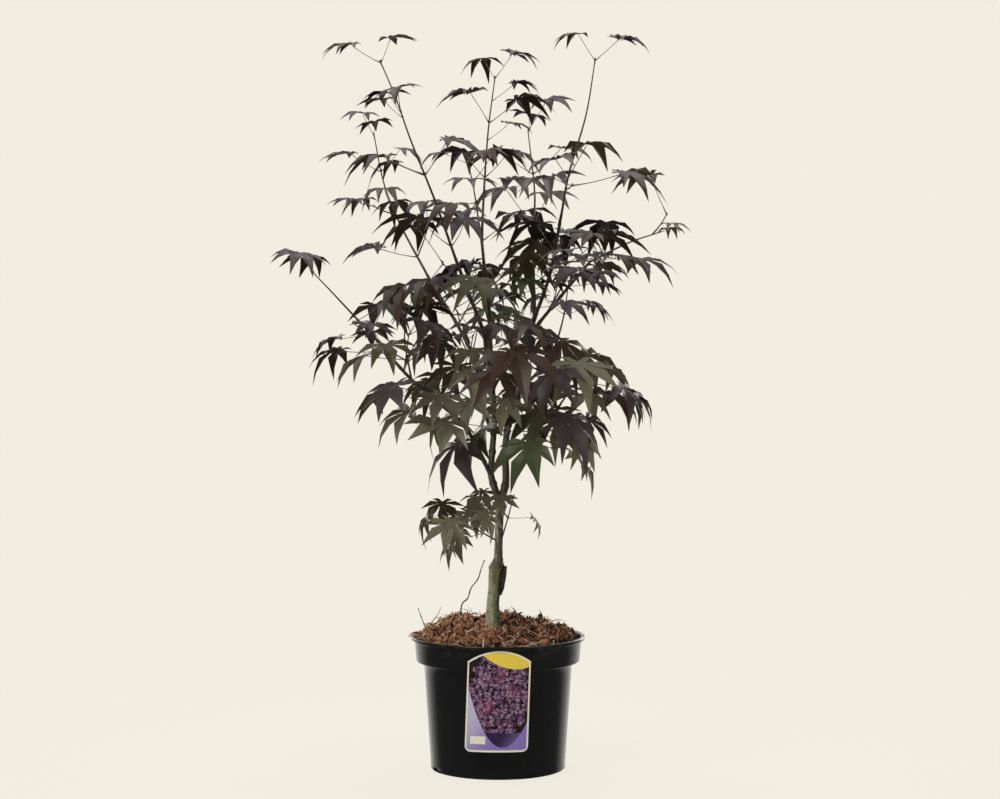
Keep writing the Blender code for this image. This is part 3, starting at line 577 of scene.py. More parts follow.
def free_leaf(name, foot, heading, bearing, length, roll, taken):
    """The first of a leaf's tries that touches nothing in taken, which it joins, or None."""
    for turn in TRIES:
        leaf = place_leaf(foot, heading, bearing + turn, length, roll, name)
        near, far = leaf_rooms(leaf)
        if is_free(near, far, name, taken):
            taken.append(near)
            return leaf
    return None


def grow_spray(name, spray, way, taken):
    """The leaves and side twigs of a spray. Leaves stand on the stem in opposite pairs, closer and
    smaller toward the tip, and a side twig carries one pair at its own tip."""
    rng = random.Random(spray.seed)
    first = max(spray.first, FOOT_REACH / way.length)
    steps = [INTERNODE_RATIO**i for i in range(spray.pairs - 1)]
    leaves = []
    twigs = []
    for pair in range(spray.pairs):
        along = sum(steps[:pair]) / sum(steps) if steps else 0.0
        foot, heading = way.at(min(LAST_PAIR, first + (1.0 - first) * along))
        size = spray.low + (spray.high - spray.low) * along
        for side in (0.0, 180.0):
            turn = spray.bearing + TURN_PER_PAIR * pair + side
            turn += rng.uniform(-TURN_JITTER, TURN_JITTER)
            length = size * (1.0 + rng.uniform(-SIZE_JITTER, SIZE_JITTER))
            roll = rng.uniform(-BLADE_ROLL, BLADE_ROLL)
            sites = [(foot, heading, turn, length)]
            if side and pair < spray.twigs:
                twig = free_twig(name, foot, heading, turn, TWIG_SHARE * length, taken)
                if twig:
                    twigs.append(twig)
                    length *= TWIG_LEAF_SHARE
                    end = twig.at(LAST_PAIR)
                    sites = [(*end, turn + 90.0, length), (*end, turn - 90.0, length)]
            leaves += filter(None, [free_leaf(name, *site, roll, taken) for site in sites])
    return leaves, twigs


class Shoot(NamedTuple):
    """A fine shoot: the limb or stem it grows from and how far along, its bearing, its length,
    and its leaves' length. One of no length is a single leaf on the wood itself."""

    parent: str
    share: float
    bearing: float
    length: float
    leaf: float


# the finer growth that fills the crown: every limb and leafy stem bears one shoot for each such
# stretch of its length, and at least one, dealt out by one seed for the whole plant
SHOOT_SPACING = 0.16
SHOOT_SEED = 1
# the solids' reach along X and along Y, which no lobe of a shoot's leaves passes at rest
CROWN_REACH = tuple(zip(*SOLID_BOX))[:2]
REACH_BEARINGS = (-78.0, -38.0, 0.0, 38.0, 78.0)
# bearings of a shoot's two leaves from its own, and the spread of leaf size
SHOOT_PAIR = (65.0, -75.0)
SHOOT_SIZES = (0.72, 1.28)
SHOOT_SPAN = (0.05, 1.0)
SHOOT_LENGTHS = (0.0, 0.0, 0.0, 0.018, 0.025, 0.032, 0.040, 0.050)
SHOOT_LEAVES = ((0.32, 0.040), (0.45, 0.056), (0.75, 0.054), (0.92, 0.036))
SHOOT_TOP = 0.85


def deal_shoots(parent, way):
    """The fine shoots of one limb or stem, as many as its length calls for, each at a random
    place, bearing, length and size."""
    rng = random.Random(f"{parent} {SHOOT_SEED}")
    shoots = []
    for _ in range(max(1, round(way.length / SHOOT_SPACING))):
        share, bearing = rng.uniform(*SHOOT_SPAN), rng.uniform(0.0, 360.0)
        length, size = rng.choice(SHOOT_LENGTHS), rng.uniform(*SHOOT_SIZES)
        height = way.at(share)[0].z
        length = length if height < SHOOT_TOP else 0.0
        shoots.append(Shoot(parent, share, bearing, length, size * between(SHOOT_LEAVES, height)))
    return shoots


def in_reach(leaf):
    """Whether a leaf's lobes, laid out flat, all end within the crown's reach."""
    for bearing in map(math.radians, REACH_BEARINGS):
        lobe = Vector((math.cos(bearing), math.sin(bearing), 0.0)) * leaf.length
        tip = leaf.frame @ lobe
        if any(not low <= place <= high for place, (low, high) in zip(tip, CROWN_REACH)):
            return False
    return True


def grow_shoot(shoot, ways, taken):
    """The leaves and the twig of a fine shoot, whose pair stands at its tip."""
    foot, heading = ways[shoot.parent].at(shoot.share)
    roll = BLADE_ROLL * math.sin(shoot.bearing + 97.0 * shoot.share)
    sites = [(foot, heading, shoot.bearing, shoot.leaf)]
    twigs = []
    if shoot.length > 0.0:
        twig = free_twig(shoot.parent, foot, heading, shoot.bearing, shoot.length, taken)
        if twig is None:
            return [], []
        twigs.append(twig)
        end = twig.at(LAST_PAIR)
        sites = [(*end, shoot.bearing + turn, shoot.leaf) for turn in SHOOT_PAIR]
    leaves = filter(None, [free_leaf(shoot.parent, *site, roll, taken) for site in sites])
    leaves = list(filter(in_reach, leaves))
    return (leaves, twigs) if leaves else ([], [])


# ---------------------------------------------------------------- surfaces


class Surface(NamedTuple):
    """Points, four-sided and three-sided faces, and which finish each face has."""

    points: np.ndarray
    quads: np.ndarray
    tris: np.ndarray
    quad_finish: np.ndarray
    tri_finish: np.ndarray


def surface(points, quads=(), tris=(), quad_finish=0, tri_finish=0):
    """A Surface from arrays of any leading shape, with one finish or one to each face."""
    quads = np.asarray(quads, np.int32).reshape(-1, 4)
    tris = np.asarray(tris, np.int32).reshape(-1, 3)
    return Surface(
        np.asarray(points, float).reshape(-1, 3), quads, tris,
        np.broadcast_to(np.asarray(quad_finish, np.int32).ravel(), len(quads)),
        np.broadcast_to(np.asarray(tri_finish, np.int32).ravel(), len(tris)),
    )


def join(surfaces):
    """Several surfaces as one."""
    starts = np.cumsum([0] + [len(one.points) for one in surfaces[:-1]])
    return Surface(
        np.vstack([one.points for one in surfaces]),
        np.vstack([one.quads + start for one, start in zip(surfaces, starts)]),
        np.vstack([one.tris + start for one, start in zip(surfaces, starts)]),
        np.concatenate([one.quad_finish for one in surfaces]),
        np.concatenate([one.tri_finish for one in surfaces]),
    )


def repeated(faces, count, stride):
    """The faces of one shape, given again for each of count copies stride points apart."""
    return np.asarray(faces)[None] + stride * np.arange(count)[:, None, None]


def unit(vectors):
    return vectors / np.maximum(np.linalg.norm(vectors, axis=-1, keepdims=True), 1e-12)


def across(paths):
    """Two directions square to each path at each of its points, and the one along it. They lean
    on the axis that the path runs least along, so they never spin."""
    along = unit(np.gradient(paths, axis=1))
    lean = np.eye(3)[np.abs(along.mean(axis=1)).argmin(axis=1)][:, None, :]
    side = unit(lean - along * (along * lean).sum(axis=-1, keepdims=True))
    return side, np.cross(along, side), along


def tube_faces(rings, sides):
    """Faces of one closed tube whose rings' points come first and then its two end points."""
    ring, side = np.meshgrid(np.arange(rings - 1), np.arange(sides), indexing="ij")
    after = (side + 1) % sides
    a, b = ring * sides + side, ring * sides + after
    quads = np.stack([a, b, b + sides, a + sides], axis=-1).reshape(-1, 4)
    k = np.arange(sides)
    last = (rings - 1) * sides
    foot, tip = np.full(sides, rings * sides), np.full(sides, rings * sides + 1)
    ends = [np.stack([foot, (k + 1) % sides, k], axis=-1),
            np.stack([tip, last + k, last + (k + 1) % sides], axis=-1)]
    return quads, np.vstack(ends)


def tubes(paths, radii, sides, flat=1.0, cap=0.5):
    """Closed tubes, one to a path. Round each point of a path stands a ring of points at even
    angles a, at (cos a, flat sin a) radii away from it, and a point beyond each end closes it.
    radii holds one value to each point, or one to each point and angle."""
    paths = np.asarray(paths, float)
    radii = np.asarray(radii, float)
    if radii.ndim == 2:
        radii = np.repeat(radii[:, :, None], sides, axis=2)
    count, rings = paths.shape[:2]
    side, other, along = across(paths)
    angle = 2.0 * np.pi * np.arange(sides) / sides
    ring = (side[:, :, None] * np.cos(angle)[:, None]
            + other[:, :, None] * (flat * np.sin(angle))[:, None])
    points = paths[:, :, None] + radii[..., None] * ring
    thick = cap * min(flat, 1.0) * radii.mean(axis=2)[..., None]
    feet = paths[:, 0] - along[:, 0] * thick[:, 0]
    tips = paths[:, -1] + along[:, -1] * thick[:, -1]
    points = np.concatenate(
        [points.reshape(count, rings * sides, 3), feet[:, None], tips[:, None]], axis=1
    )
    quads, tris = tube_faces(rings, sides)
    stride = rings * sides + 2
    return surface(points, repeated(quads, count, stride), repeated(tris, count, stride))


def ripples(points, wavelength, seed, waves=9):
    """A smooth random value in about -1 to 1 at each point: the sum of plane sine waves of about
    this wavelength, each with its own direction and phase, over the root of half their number."""
    rng = np.random.default_rng(seed)
    ways = unit(rng.normal(size=(waves, 3))) * rng.uniform(0.6, 1.6, (waves, 1))
    phases = rng.uniform(0.0, 2.0 * np.pi, waves)
    return np.sin(points @ ways.T * (2.0 * np.pi / wavelength) + phases).sum(-1) / np.sqrt(waves / 2)


def natures(places, count):
    """count numbers from 0 to 1 to each place, from the places alone: the fraction of a large
    multiple of the sine of a mix of the three coordinates."""
    mixes = np.random.default_rng(17).normal(size=(3, count)) * 91.7
    return np.mod(np.sin(np.asarray(places) @ mixes + 0.7) * 43758.5453, 1.0)


# ---------------------------------------------------------------- leaves

# lobes of a leaf from its right to its left: bearing, and share of the middle lobe's length
LOBE_BEARINGS = np.array([-121.0, -78.0, -38.0, 0.0, 38.0, 78.0, 121.0])
LOBE_SHARES = np.array([0.36, 0.74, 0.93, 1.0, 0.93, 0.74, 0.36])
# stations along a lobe and half its width there, as shares of its length
LOBE_STATIONS = np.array([0.27, 0.54, 0.80])
LOBE_WIDTHS = np.array([0.086, 0.158, 0.068])
# the notch after each lobe, the last being the leaf's foot, in the terms of the lobes
NOTCH_BEARINGS = np.array([-99.0, -58.0, -19.0, 19.0, 58.0, 99.0, 180.0])
NOTCH_SHARES = np.array([0.11, 0.15, 0.17, 0.17, 0.15, 0.11, 0.06])
SMALL_LOBES = (0, 6)
LEAF_CORE = 0.0007
# how far the hook takes the tips down: the least, and how much more it may be
HOOK_LEAST = 0.04
HOOK_SPAN = 0.34
NATURES = 32


def blade_plan():
    """Which points of the full grid a leaf uses, then its faces on those: four-sided ones above
    and below, and three-sided ones above and below. The full grid is middle above, middle below,
    seven notches, then for each lobe its tip and, at three stations, rib above, rib below, right
    edge and left edge. A small lobe has one station."""
    quads = ([], [])
    tips = ([], [])
    for lobe in range(7):
        tip = 9 + 13 * lobe
        inner = (0, 1, 2 + (lobe - 1) % 7, 2 + lobe)
        for station in (1,) if lobe in SMALL_LOBES else (0, 1, 2):
            outer = tuple(tip + 1 + 4 * station + part for part in range(4))
            quads[0].append((inner[0], inner[2], outer[2], outer[0]))
            quads[0].append((inner[0], outer[0], outer[3], inner[3]))
            quads[1].append((inner[1], outer[1], outer[2], inner[2]))
            quads[1].append((inner[1], inner[3], outer[3], outer[1]))
            inner = outer
        tips[0].extend([(inner[0], inner[2], tip), (inner[0], tip, inner[3])])
        tips[1].extend([(inner[1], tip, inner[2]), (inner[1], inner[3], tip)])
    used = np.unique(np.concatenate([np.ravel(quads), np.ravel(tips)]))
    return used, *(np.searchsorted(used, faces) for faces in (*quads, *tips))


BLADE_POINTS, QUADS_ABOVE, QUADS_BELOW, TIPS_ABOVE, TIPS_BELOW = blade_plan()


def blades(leaves, droop, fold):
    """Every leaf's blade. A lobe of length s at bearing b has a rib point s*t along b at each
    station t, and edge points its half width to either side. All are lifted onto an arch of
    height rise * r - droop * r**2 / length, r from the middle, less a hook towards the tips, and
    the edges stand up from the rib by the width times the fold's tangent."""
    count = len(leaves)
    turns = np.array([np.array(leaf.frame) for leaf in leaves])
    length = np.array([leaf.length for leaf in leaves])[:, None]
    luck = natures(turns[:, :3, 3], NATURES)
    bearing = np.radians(LOBE_BEARINGS + 11.0 * (luck[:, 0:7] - 0.5))
    size = length * LOBE_SHARES * (0.90 + 0.16 * luck[:, 7:14])
    width = 0.84 + 0.36 * luck[:, 14:21]
    bend = droop * (0.45 + 0.95 * luck[:, 31:32]) * (0.72 + 0.56 * luck[:, 21:28])
    hook = (HOOK_LEAST + HOOK_SPAN * luck[:, 28:29]) * (0.6 + 0.8 * luck[:, 14:21])
    lift = np.tan(fold * (0.55 + 0.9 * luck[:, 29:30]))
    drift = 0.26 * (luck[:, 30:31] - 0.5) + 0.30 * (luck[:, 2:9] - 0.5)

    def arch(reach, bow, swing):
        share = reach / length
        return length * (ARCH_RISE * share - bow * share**2 - swing * share**4)

    out = np.stack([np.cos(bearing), np.sin(bearing)], axis=-1)
    side = np.stack([-out[..., 1], out[..., 0]], axis=-1)
    points = np.zeros((count, 9 + 13 * 7, 3))
    points[:, 0, 2], points[:, 1, 2] = LEAF_CORE / 2.0, -LEAF_CORE / 2.0
    notch = np.radians(NOTCH_BEARINGS + 5.0 * (luck[:, 3:10] - 0.5))
    reach = length * NOTCH_SHARES * (0.85 + 0.3 * luck[:, 11:18])
    points[:, 2:9, 0], points[:, 2:9, 1] = reach * np.cos(notch), reach * np.sin(notch)
    points[:, 2:9, 2] = arch(reach, 0.3 * droop, 0.0) + 0.05 * reach * lift
    grid = points[:, 9:].reshape(count, 7, 13, 3)
    grid[:, :, 0, :2] = out * size[..., None] + side * (drift * size)[..., None]
    grid[:, :, 0, 2] = arch(size, bend, hook)
    for station, (share, half) in enumerate(zip(LOBE_STATIONS, LOBE_WIDTHS)):
        rib = out * (share * size)[..., None] + side * (drift * share**2 * size)[..., None]
        spread = half * size * width
        height = arch(share * size, bend, hook)
        core = LEAF_CORE * (1.0 - share) / 2.0
        first = 1 + 4 * station
        for part, way, shift in ((0, 0.0, core), (1, 0.0, -core), (2, -1.0, 0.0), (3, 1.0, 0.0)):
            grid[:, :, first + part, :2] = rib + side * (way * spread)[..., None]
            grid[:, :, first + part, 2] = height + abs(way) * spread * lift + shift
    points = points[:, BLADE_POINTS]
    return np.einsum("nij,npj->npi", turns[:, :3, :3], points) + turns[:, None, :3, 3]


# ---------------------------------------------------------------- finishes


class Value:
    """A socket of a finish's node tree, on which sums and products add Math nodes."""

    def __init__(self, finish, socket):
        self.finish = finish
        self.socket = socket

    def maths(self, operation, first, second):
        return self.finish.node("ShaderNodeMath", {"operation": operation}, {0: first, 1: second})

    def __add__(self, other):
        return self.maths("ADD", self, other)

    def __radd__(self, other):
        return self.maths("ADD", other, self)

    def __sub__(self, other):
        return self.maths("SUBTRACT", self, other)

    def __rsub__(self, other):
        return self.maths("SUBTRACT", other, self)

    def __mul__(self, other):
        return self.maths("MULTIPLY", self, other)

    def __rmul__(self, other):
        return self.maths("MULTIPLY", other, self)

    def __truediv__(self, other):
        return self.maths("DIVIDE", self, other)

    def __pow__(self, other):
        return self.maths("POWER", self, other)

    def __gt__(self, other):
        return self.maths("GREATER_THAN", self, other)

    def __lt__(self, other):
        return self.maths("LESS_THAN", self, other)


class Finish:
    """A material in the making: one Principled shader, and the nodes that feed it."""

    def __init__(self, name, colour, roughness, **constants):
        self.material = bpy.data.materials.new(name)
        self.material.use_nodes = True
        self.tree = self.material.node_tree
        self.shader = self.tree.nodes["Principled BSDF"]
        self.feed("Base Color", (*colour[:3], 1.0))
        self.feed("Roughness", roughness)
        for socket, value in constants.items():
            self.feed(socket.replace("_", " ").title().replace("Ior", "IOR"), value)
        self.material.diffuse_color = (*colour[:3], 1.0)

    def feed(self, socket, value):
        """Sets one of the shader's sockets, or links it."""
        self.plug(self.shader.inputs[socket], value)

    def plug(self, socket, value):
        if isinstance(value, Value):
            self.tree.links.new(value.socket, socket)
        else:
            socket.default_value = value

    def node(self, kind, settings=None, sockets=None, out=0):
        """Adds a node: its settings first, a ramp's stops among them, then what its sockets take."""
        made = self.tree.nodes.new(kind)
        for name, value in (settings or {}).items():
            if name == "stops":
                ramp = made.color_ramp
                while len(ramp.elements) < len(value):
                    ramp.elements.new(1.0)
                for stop, (place, colour) in zip(ramp.elements, value):
                    stop.position = place
                    stop.color = (*colour[:3], 1.0)
            else:
                setattr(made, name, value)
        for socket, value in (sockets or {}).items():
            self.plug(made.inputs[socket], value)
        return Value(self, made.outputs[out])

    def place(self, scale=(1.0, 1.0, 1.0), shift=(0.0, 0.0, 0.0)):
        """The piece's own coordinates, stretched and then shifted."""
        own = self.node("ShaderNodeTexCoord", out="Object")
        return self.node("ShaderNodeMapping", {}, {"Vector": own, "Scale": scale, "Location": shift})

    def noise(self, scale, detail=3.0, stretch=(1.0, 1.0, 1.0), rough=0.55, shift=(0.0, 0.0, 0.0)):
        """Noise from 0 to 1, with scale features to a metre."""
        return self.node(
            "ShaderNodeTexNoise", {},
            {"Vector": self.place(stretch, shift), "Scale": scale, "Detail": detail, "Roughness": rough},
        )

    def ramp(self, value, *stops):
        return self.node("ShaderNodeValToRGB", {"stops": stops}, {"Fac": value})

    def step(self, value, low, high):
        """0 below low and 1 above high, and smooth between them."""
        return self.node(
            "ShaderNodeMapRange", {"interpolation_type": "SMOOTHSTEP"},
            {"Value": value, "From Min": low, "From Max": high},
        )

    def mix(self, first, second, share, blend="MIX"):
        """A colour between two: the first at share 0 and the second at share 1."""
        pair = [tint if isinstance(tint, Value) else (*tint[:3], 1.0) for tint in (first, second)]
        return self.node(
            "ShaderNodeMix", {"data_type": "RGBA", "blend_type": blend},
            {0: share, 6: pair[0], 7: pair[1]}, out=2,
        )

    def axis(self, vector, name):
        return self.node("ShaderNodeSeparateXYZ", {}, {0: vector}, out=name)

    def attribute(self, name):
        return self.node("ShaderNodeAttribute", {"attribute_name": name}, out="Fac")

    def bump(self, height, distance, strength=1.0):
        """Raises the surface by height times distance, in metres."""
        self.feed("Normal", self.node(
            "ShaderNodeBump", {}, {"Height": height, "Distance": distance, "Strength": strength}
        ))


def pot_finish(tone, gloss):
    """Black moulded plastic: a soft gloss, faint flow marks and scuffs, and dust by the rim."""
    plastic = Finish("moulded_plastic", tone, gloss, specular_ior_level=0.45)
    height = plastic.axis(plastic.place(), "Z")
    flow = plastic.noise(9.0, 3.0, (1.0, 1.0, 0.25))
    grain = plastic.noise(900.0, 2.0)
    scuffs = plastic.step(plastic.noise(150.0, 4.0, (1.0, 1.0, 3.0), 0.7), 0.62, 0.74)
    dust = plastic.step(plastic.noise(60.0, 5.0, rough=0.7), 0.45, 0.75) * plastic.step(height, 0.150, 0.178)
    worn = plastic.mix(tone, (0.055, 0.052, 0.050), scuffs * 0.25)
    plastic.feed("Base Color", plastic.mix(worn, (0.075, 0.058, 0.045), dust * 0.45))
    plastic.feed("Roughness", gloss + flow * 0.10 - 0.05 + scuffs * 0.12 + dust * 0.25)
    plastic.bump(flow * 0.8 + grain * 0.03 + scuffs * 0.03, 0.0011, 0.5)
    return plastic.material


def mulch_finish(dark, light):
    """The bed under the fibres: crumbs of bark and peat, very dark, partly the peat's own colour
    and partly painted shade where the bed shows between the fibres.
    """
    bed = Finish("mulch_bed", dark, 0.92, specular_ior_level=0.25)
    crumbs = bed.node("ShaderNodeTexVoronoi", {}, {"Vector": bed.place(), "Scale": 210.0})
    cloud = bed.noise(70.0, 5.0, rough=0.7)
    bed.feed("Base Color", bed.ramp(
        cloud * 0.75 + crumbs * 0.35, (0.25, [0.35 * part for part in dark]), (0.5, dark), (0.75, light)
    ))
    bed.feed("Roughness", 0.82 + cloud * 0.15)
    bed.bump(cloud * 0.8 + crumbs * 0.5, 0.004, 0.9)
    return bed.material


def trunk_finish(green, pale, brown):
    """Smooth green bark with long dark furrows, pale in patches, with a painted highlight on the side
    that faces the key light and painted shade on the far side, and browner above the graft and in
    the wound. The attributes age, weather and wound say where."""
    bark = Finish("trunk_bark", green, 0.72, specular_ior_level=0.35)
    age, wound, weather = (bark.attribute(name) for name in ("age", "wound", "weather"))
    bands = bark.noise(230.0, 4.0, (1.0, 1.0, 0.10), 0.62)
    patches = bark.noise(75.0, 5.0, (1.0, 1.0, 0.45), 0.65)
    specks = bark.step(bark.noise(520.0, 3.0, (1.0, 1.0, 0.7), 0.6), 0.56, 0.66)
    rings = bark.step(bark.noise(90.0, 3.0, (0.25, 0.25, 2.4), 0.6), 0.60, 0.68)
    # face is high on the side turned to the key light and low on the far side, broken by patches and bands:
    # where high it paints pale bloom and a painted highlight, where low painted shade
    face = weather + (patches - 0.5) * 0.9 + (bands - 0.5) * 0.6
    pale_and_highlight = bark.step(face, 0.62, 0.96)
    shaded = bark.step(face, 0.26, 0.56)
    fresh = bark.mix([0.30 * part for part in green], bark.mix(green, pale, pale_and_highlight), shaded)
    fresh = bark.mix(fresh, [0.26 * part for part in green], bark.step(bands, 0.54, 0.66) * 0.85)
    # the old bark above the graft takes the same painted highlight and painted shade
    grey = bark.mix(brown, [0.80 * part for part in pale], bark.step(face, 0.70, 0.92))
    old = bark.mix([0.28 * part for part in brown], grey, shaded)
    old = bark.mix(old, [0.25 * part for part in brown], bark.step(bands, 0.50, 0.62) * 0.85)
    skin = bark.mix(bark.mix(fresh, old, age), pale, specks * 0.30)
    skin = bark.mix(skin, [0.45 * part for part in brown], rings * 0.55)
    bark.feed("Base Color", bark.mix(skin, [0.28 * part for part in brown], wound))
    bark.feed("Roughness", 0.60 + patches * 0.25 + wound * 0.12)
    bark.bump(bands * 0.7 + patches * 0.5 + rings * 0.25 + specks * 0.15, 0.0018, 0.9)
    return bark.material


def bough_finish(dark, grey):
    """Young bark: dark and purplish, with long pale streaks, and a grey painted highlight on the thick
    old stems where they face the key light. The attribute age is 1 on the oldest wood, and weather
    is how far the surface faces that light."""
    bark = Finish("young_bark", dark, 0.55, specular_ior_level=0.45)
    age, weather = bark.attribute("age"), bark.attribute("weather")
    streaks = bark.noise(420.0, 4.0, (1.0, 1.0, 0.06), 0.6)
    cloud = bark.noise(38.0, 4.0, (1.0, 1.0, 0.5), 0.6)
    specks = bark.step(bark.noise(900.0, 2.0, (1.0, 1.0, 2.0)), 0.62, 0.74)
    # painted highlight: grey where old wood faces the key light, broken by cloud and streaks
    pale_and_highlight = bark.step(weather + cloud * 0.5 + streaks * 0.4, 1.02, 1.26)
    tone = bark.mix(dark, grey, pale_and_highlight * age)
    tone = bark.mix(tone, [0.45 * part for part in dark], bark.step(streaks, 0.50, 0.66) * 0.7)
    bark.feed("Base Color", bark.mix(tone, (0.17, 0.15, 0.12), specks * 0.28))
    bark.feed("Roughness", 0.48 + cloud * 0.22)
    bark.bump(streaks * 0.6 + specks * 0.2, 0.0005, 0.7)
    return bark.material


def stars(print_, across, up, scale, points, seed_shift):
    """A scatter of many-pointed stars: 1 inside them. Each cell of a jittered grid holds one, of
    its own turn, whose radius swings with the cosine of the angle times its points."""
    spot = print_.node("ShaderNodeCombineXYZ", {}, {0: across * scale + seed_shift, 1: up * scale})
    cell = {"Vector": spot, "Scale": 1.0, "Randomness": 0.85}
    kind = {"voronoi_dimensions": "2D"}
    middle = print_.node("ShaderNodeTexVoronoi", kind, cell, out="Position")
    luck = print_.node("ShaderNodeTexVoronoi", kind, cell, out="Color")
    arm = print_.node("ShaderNodeVectorMath", {"operation": "SUBTRACT"}, {0: spot, 1: middle})
    x, y = print_.axis(arm, "X"), print_.axis(arm, "Y")
    angle = x.maths("ARCTAN2", x, y) + print_.axis(luck, "X") * 6.3
    petal = (angle * points).maths("COSINE", angle * points, 0.0) * 0.5 + 0.5
    reach = (x * x + y * y) ** 0.5
    rim = (petal**1.6) * 0.40 + 0.10 + print_.axis(luck, "Y") * 0.12
    return print_.step(rim - reach, 0.0, 0.05), print_.axis(luck, "Z")


def label_finish(paper, yellow, violet, night):
    """The printed card: a pale edge, a picture of star-shaped leaves, a yellow sweep, a violet one,
    and a dark foot with a blank panel. It reads the card's own UV map, in metres."""
    card = Finish("printed_card", paper, 0.26, specular_ior_level=0.5, coat_weight=0.25)
    across = card.node("ShaderNodeUVMap", {"uv_map": "card"})
    x, y = card.axis(across, "X"), card.axis(across, "Y")
    shade = card.noise(120.0, 4.0)
    picture = card.ramp(shade, (0.40, (0.004, 0.003, 0.005)), (0.70, (0.026, 0.011, 0.026)))
    mass = x * x * 640.0 + (y - 0.074) * (y - 0.074) * 330.0
    crown = card.step(1.12 - mass + (shade - 0.5) * 1.3, 0.0, 0.30)
    for scale, shift, points, low, high in (
        (120.0, 3.1, 3.5, (0.036, 0.010, 0.030), (0.110, 0.042, 0.095)),
        (150.0, 9.7, 3.5, (0.110, 0.038, 0.105), (0.230, 0.080, 0.165)),
        (185.0, 21.3, 3.5, (0.190, 0.110, 0.230), (0.420, 0.280, 0.410)),
    ):
        inside, luck = stars(card, x, y, scale, points, shift)
        tint = card.mix(low, high, luck)
        picture = card.mix(picture, tint, inside * crown * card.step(luck + shade, 0.45, 0.75))
    warm = card.step(card.noise(38.0, 2.0), 0.56, 0.68)
    picture = card.mix(picture, (0.42, 0.06, 0.10), warm * crown * 0.22)
    sky = card.mix(violet, [0.35 + 0.65 * part for part in violet], card.step(y - x, 0.010, 0.085))
    foot = card.mix(night, violet, card.step(x - y * 0.6, -0.010, 0.045))
    picture = card.mix(foot, picture, card.step(y, 0.0250, 0.0254))
    sweep = y + (x + 0.043) * 0.42 + ((x * x) * -9.0)
    picture = card.mix(picture, yellow, card.step(sweep, 0.1300, 0.1306))
    low = y - (x - 0.008) * (x - 0.008) * 34.0
    picture = card.mix(sky, picture, card.step(low, 0.0060, 0.0066))
    panel = card.step(x, -0.0345, -0.0342) * card.step(-0.0145 - x, -0.0003, 0.0) \
        * card.step(y, 0.0105, 0.0108) * card.step(0.0205 - y, -0.0003, 0.0)
    picture = card.mix(picture, paper, panel)
    edge = card.attribute("edge")
    card.feed("Base Color", card.mix(picture, paper, card.step(edge, 0.45, 0.5)))
    card.feed("Roughness", 0.22 + shade * 0.10)
    card.bump(card.noise(35.0, 2.0), 0.0007, 0.35)
    return card.material


def plain(name, colour, roughness=0.5, specular=0.5):
    """One of a set of plain tones that are dealt out piece by piece, strand by strand."""
    return Finish(name, colour, roughness, specular_ior_level=specular).material


# ---------------------------------------------------------------- pot, mulch and label

POT_HEIGHT = 0.1765
POT_WALL = 0.0016
LIP_RADIUS = 0.115
LIP_HEIGHT = 0.0047
COLLAR_TOP = 0.1106
COLLAR_FOOT = 0.1084
COLLAR_HEIGHT = 0.0285
SHOULDER_RADIUS = 0.0982
SHOULDER_DROP = 0.0030
BASE_RADIUS = 0.0895
BASE_CORNER = 0.0022
DRAIN_BEARINGS = (-65.0, 26.0, 116.0, 206.0)
NOTCH_HALF = 0.011
NOTCH_HEIGHT = 0.0060
NOTCH_DEPTH = 0.0035
POT_SECTORS = 224

SOIL_EDGE = 0.1690
SOIL_CROWN = 0.0235
SOIL_RADIUS = 0.1068
BED_RINGS = 84
BED_SECTORS = 240

LABEL_WIDTH = 0.083
LABEL_TOP = 0.1712
LABEL_FOOT = 0.0402
LABEL_ARCH = 0.0142
LABEL_LEAN = 0.038
LABEL_CARD = 0.0008
LABEL_GAP = 0.0003
LABEL_CORNER = 0.0075
LABEL_EDGE = 0.0024


def arc(middle, radius, first, last, count):
    """Points of an arc about middle, from the first bearing to the last."""
    angle = np.radians(np.linspace(first, last, count))
    return [(middle[0] + radius * math.cos(a), middle[1] + radius * math.sin(a)) for a in angle]


def lathe(profile, sectors, dent=None):
    """A closed shell turned about Z from (radius, height) points that start and end on the axis.
    Point (r, z) goes to (r cos a, r sin a, z) at each even angle a, and dent may change r."""
    profile = np.array(profile)
    angle = 2.0 * np.pi * np.arange(sectors) / sectors
    radius, height = np.meshgrid(profile[1:-1, 0], angle, indexing="ij")[0], profile[1:-1, 1:]
    height = np.broadcast_to(height, radius.shape)
    if dent:
        radius = radius - dent(radius, height, angle)
    grid = np.stack([radius * np.cos(angle), radius * np.sin(angle), height], axis=-1)
    rings = len(profile) - 2
    ends = [(0.0, 0.0, profile[0, 1]), (0.0, 0.0, profile[-1, 1])]
    quads, tris = tube_faces(rings, sectors)
    return surface(np.vstack([grid.reshape(-1, 3), ends]), quads, tris)


